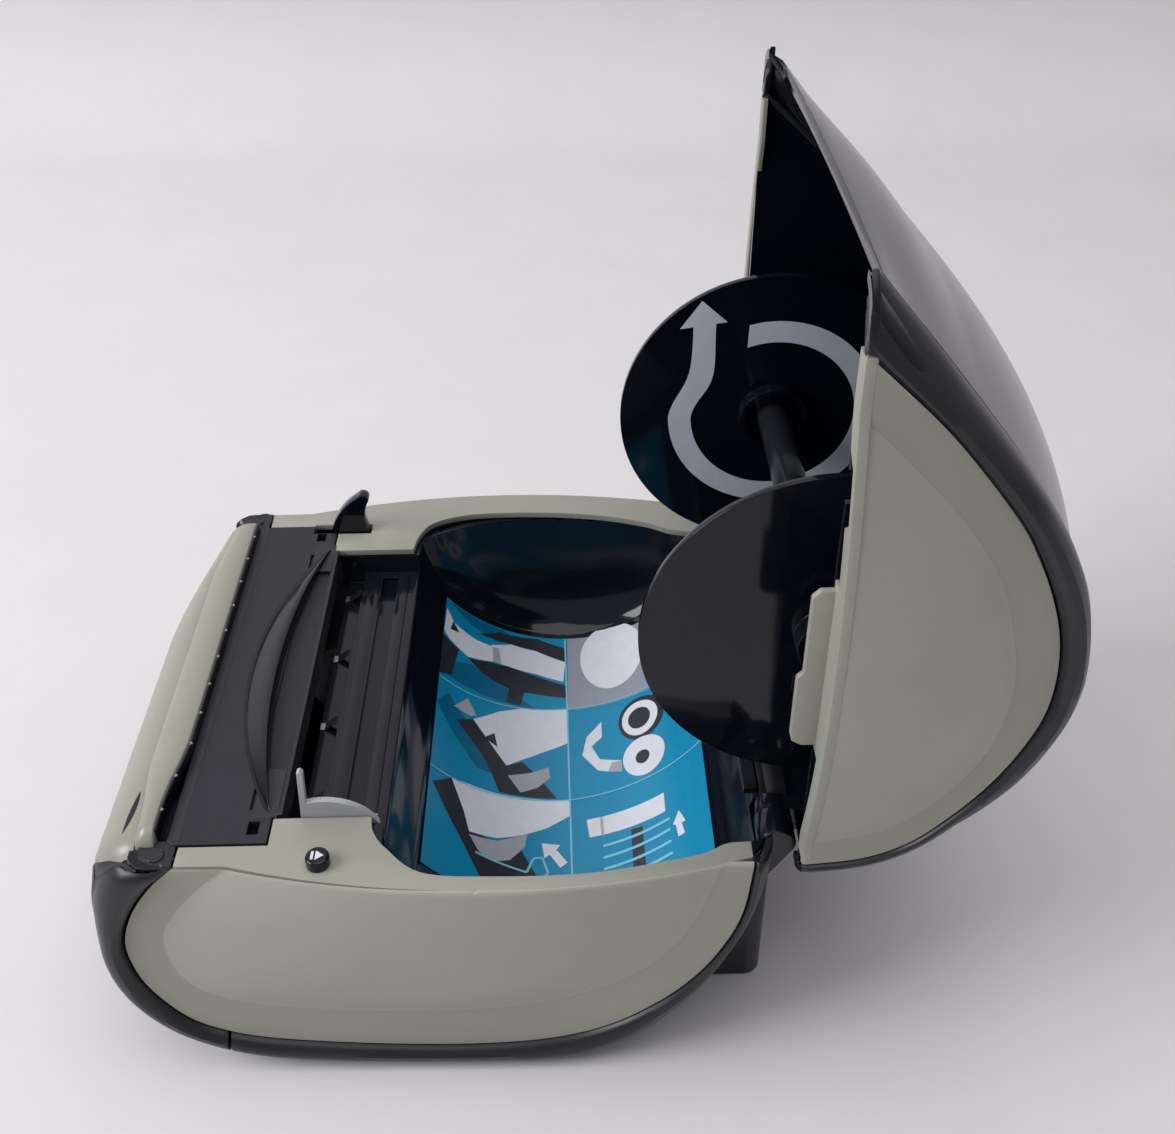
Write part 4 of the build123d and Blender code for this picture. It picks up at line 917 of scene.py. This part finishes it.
# ---------------- instruction sheet
def draped(name, polygons, layer, look):
    """Printed shapes laid on the curved instruction sheet; polygons are lists of plan points."""
    work = bmesh.new()
    for polygon in polygons:
        work.faces.new([work.verts.new((x, y, 0)) for x, y in polygon])
    for y in SHEET_CUTS:
        geom = work.verts[:] + work.edges[:] + work.faces[:]
        bmesh.ops.bisect_plane(work, geom=geom, plane_co=(0, y, 0), plane_no=(0, 1, 0))
    radius = SHEET_R - 0.03 * layer
    verts = [(v.co.x, v.co.y, WELL_Z - (radius**2 - (v.co.y - WELL_Y) ** 2) ** 0.5) for v in work.verts]
    work.verts.index_update()
    faces = [tuple(v.index for v in f.verts) for f in work.faces]
    work.free()
    build(name, verts, faces, look, "base", (0, WELL_Y, -300), slot="sticker")


def disc(x, y, rx, ry, count=40):
    """Ellipse about (x, y) as a many-sided shape."""
    turn = np.linspace(0, 2 * pi, count, endpoint=False)
    return [(x + rx * np.cos(t), y + ry * np.sin(t)) for t in turn]


def stripe(x0, y0, x1, y1, half):
    """Thin straight line as a four-sided shape."""
    along = np.array([x1 - x0, y1 - y0], float)
    side = np.array([-along[1], along[0]]) / np.hypot(*along) * half
    a, b = np.array([x0, y0]), np.array([x1, y1])
    return [tuple(a + side), tuple(b + side), tuple(b - side), tuple(a - side)]


def path(points, half):
    """Stripes from each point to the next."""
    return [stripe(*start, *end, half) for start, end in zip(points, points[1:])]


def instruction_pictures():
    """Generic pictures of loading a roll: tapes, rolls and arrows in six cells, no lettering."""
    draped("sheet_grey_cell", [
        [(-57.4, -1), (-57.4, 39.9), (-22.5, 39.9), (-22.5, 25), (-21.2, -1)],
    ], 1, "print_grey")
    draped("sheet_deep_shade", [
        [(-57, -42), (-57, -24), (-52, -14), (-50, -26), (-53, -36)],
        [(-26, -43), (-33, -34), (-28, -22), (-21, -12), (-21, -43)],
        [(-6, -43), (-13, -40), (-6, -34), (4, -27), (12, -22), (12, -30), (2, -38)],
    ], 1, "print_deep")
    draped("sheet_dark_bars", [
        [(-50, -32), (-55, -25), (-56.5, -12), (-52, -1.2), (-44, -1.2), (-50, -12), (-51, -21)],
        [(-35, -35), (-38, -28), (-39, -21), (-37, -12), (-33, -1.2), (-27, -1.2), (-28, -11), (-28, -16),
         (-21.5, -17), (-21.5, -22), (-28, -21), (-31, -30)],
        [(-38, -43), (-36, -38), (-22, -39.5), (-19, -43)],
        [(-4, -37), (-8, -32), (0, -26), (7, -21), (4, -16), (9, -11), (18, -5), (18.6, -23), (13, -25),
         (5, -29)],
        [(27, -42), (21, -37), (32, -32), (38, -27), (39, -16), (52, -9), (57, -12), (57, -25), (44, -32),
         (34, -38)],
        [(34, 17.6), (34, 21), (56, 21.4), (56, 17.6)],
    ], 2, "print_dark")
    draped("sheet_dark_cores", [disc(-11, 23, 9.4, 7.4)], 2, "print_dark")
    draped("sheet_white_tape", [
        [(-52, -42.6), (-47.4, -40), (-46, -33), (-46.4, -27), (-39, -26.5), (-35.4, -35), (-38, -41),
         (-40, -42.8)],
        [(-47, -27.6), (-50.6, -21), (-49.8, -12), (-45, -1.8), (-35, -2.6), (-38, -12), (-39, -22),
         (-39, -28)],
        [(-8, -32), (-16, -24), (-20, -17), (-21.4, -1), (-6, -1), (-1, -10), (3, -16), (7, -21), (0, -26)],
        [(21, -37), (20, -32), (19.6, -23), (18.9, -12), (18.6, -1), (25, -1), (30, -8), (34, -16), (37, -23),
         (38, -31), (31, -33)],
        [(-14, 10), (-7, 10), (-3.5, 6.5), (2.6, 9), (5, 16), (10, 16), (7.4, 8.4), (0, 3.4), (-8, 5)],
        [(27, 4.2), (24.6, 28), (32, 28), (34, 5)],
    ], 3, "print_white")
    draped("sheet_white_disc", [disc(-45.5, 14.5, 16.5, 11)], 3, "print_white")
    draped("sheet_white_ring", [disc(-11, 22.6, 7.6, 5.8)], 3, "print_white")
    draped("sheet_white_roll", [disc(6, 23, 8.2, 6.6)], 4, "print_white")
    draped("sheet_shades", [
        [(-46, -27.2), (-46.6, -25), (-39.2, -24), (-39, -26.8)],
        [(11, -20.5), (8, -13), (5, -7.6), (9.4, -7), (14, -11), (17, -16.4)],
        [(-9, -38), (-16, -34), (-10, -31), (-8.6, -33)],
        [(39, -31), (38, -23), (33, -14), (38, -14.6), (44, -19), (46, -24), (44, -28)],
        [(5, 12.8), (5, 16), (10, 16), (8.6, 11.6)],
        [(26.6, 8.4), (26.4, 9.2), (33.4, 9.4), (33.6, 8.6)],
    ], 4, "print_shade")
    draped("sheet_core_shades", [disc(-45.5, 14.5, 14.6, 9.6)], 4, "print_white")
    draped("sheet_ring_core", [disc(-11, 22.4, 4.6, 3.6)], 4, "print_dark")
    draped("sheet_roll_core", [disc(6.4, 22.6, 2.8, 2.2)], 5, "print_dark")
    draped("sheet_small_marks", [
        [(-2, -28.4), (-5.4, -25.2), (0.2, -24)],
        [(-47.8, -40.4), (-44.4, -38.2), (-43, -41)],
    ], 5, "print_dark")
    cell_edges = [stripe(-57, -1.8, 57, -0.4, 0.28)]
    for line in ([(-17.6, -42.9), (-21.6, -1.4), (-24.4, 39.8)], [(21.4, -42.9), (18.6, -1), (14, 39.8)]):
        cell_edges += path(line, 0.22)
    tape_lines = [stripe(low, 9, high, 29, 0.5)
                  for low, high in ((38, 35.4), (42.4, 39.4), (46.6, 43.8), (51, 48.2))]
    cover_line = path([(44.6, -29), (47.4, -14), (42, -12), (41.4, -9.4), (47, -7.6), (56, -16)], 0.35)
    draped("sheet_lines", cell_edges + tape_lines + cover_line, 5, "print_pale")
    draped("sheet_arrows", [
        [(36, -9.6), (36.4, -4), (38.2, -5.2), (43, -1.8), (45, -4), (40.2, -7.2), (41.6, -8.8)],
        [(38.4, 29.8), (34.2, 31.8), (39.6, 33.4), (39.3, 32.2), (43.6, 32.9), (43.8, 31), (39.2, 30.6)],
    ], 6, "print_white")


# ---------------- floor, light and camera
def floor_sweep():
    """Pale floor that curves up into a pale backdrop behind the machine."""
    half_width, front, back = 3.0, 3.0, -0.62
    radius, lean, height = 0.10, radians(84), 1.6
    side_line = [(front, 0.0), (back, 0.0)]
    for a in np.linspace(0, lean, 13)[1:]:
        side_line.append((back - radius * np.sin(a), radius * (1 - np.cos(a))))
    last_x, last_z = side_line[-1]
    side_line.append((last_x - np.cos(lean) * height, last_z + np.sin(lean) * height))
    verts = [(x, side * half_width, z) for x, z in side_line for side in (-1, 1)]
    faces = [(2 * i, 2 * i + 1, 2 * i + 3, 2 * i + 2) for i in range(len(side_line) - 1)]
    mesh = bpy.data.meshes.new("floor")
    mesh.from_pydata(verts, [], faces)
    mesh.shade_smooth()
    floor = new_object("floor", mesh)
    mesh.materials.append(plastic("floor_pale", (0.66, 0.635, 0.645), 0.75, 0.05, 0.0001, 350, vary=0.015))


def area_light(name, where, towards, size, power, colour=(1, 1, 1)):
    """Rectangular lamp at one point that faces another; power is in watts."""
    data = bpy.data.lights.new(name, "AREA")
    data.shape = "RECTANGLE"
    data.size, data.size_y = size
    data.energy = power
    data.color = colour
    light = new_object(name, data)
    light.location = where
    light.rotation_euler = (Vector(towards) - Vector(where)).to_track_quat("-Z", "Y").to_euler()


def studio():
    """Even light from all round, a cool window on the left and a soft lamp overhead."""
    world = bpy.data.worlds.new("studio")
    world.use_nodes = True
    background = world.node_tree.nodes["Background"]
    background.inputs["Color"].default_value = (0.95, 0.97, 1.0, 1)
    background.inputs["Strength"].default_value = 0.36
    bpy.context.scene.world = world
    area_light("window", (0.3, -1.25, 0.95), (0, 0, 0.05), (0.9, 0.7), 18, (0.97, 0.985, 1.0))
    area_light("ceiling", (0.1, 0.1, 1.7), (0, 0, 0), (1.6, 1.6), 13)
    bpy.context.scene.view_settings.view_transform = "Standard"


def photo_camera():
    """Camera that looks down on the open machine from its right side."""
    data = bpy.data.cameras.new("camera")
    data.sensor_fit = "HORIZONTAL"
    data.sensor_width = 36
    data.lens = 40.05
    data.shift_x, data.shift_y = -0.0061, -0.0617
    data.clip_start = 0.01
    camera = new_object("camera", data)
    camera.location = (0.2987, 0, 0.3528)
    camera.rotation_euler = (radians(54.634), radians(0.12), radians(88.449))
    bpy.context.scene.camera = camera


dress_nodes()
photo_camera()
base_sides()
base_band()
front_strip()
tear_bar()
lens()
cover_walls()
cover_bands()
cover_top()
cover_edges()
grip()
corner_trim()
corner_shoulders()
deck_plates()
feed_ribs()
roll_shaft()
button_symbol()
instruction_pictures()
floor_sweep()
studio()
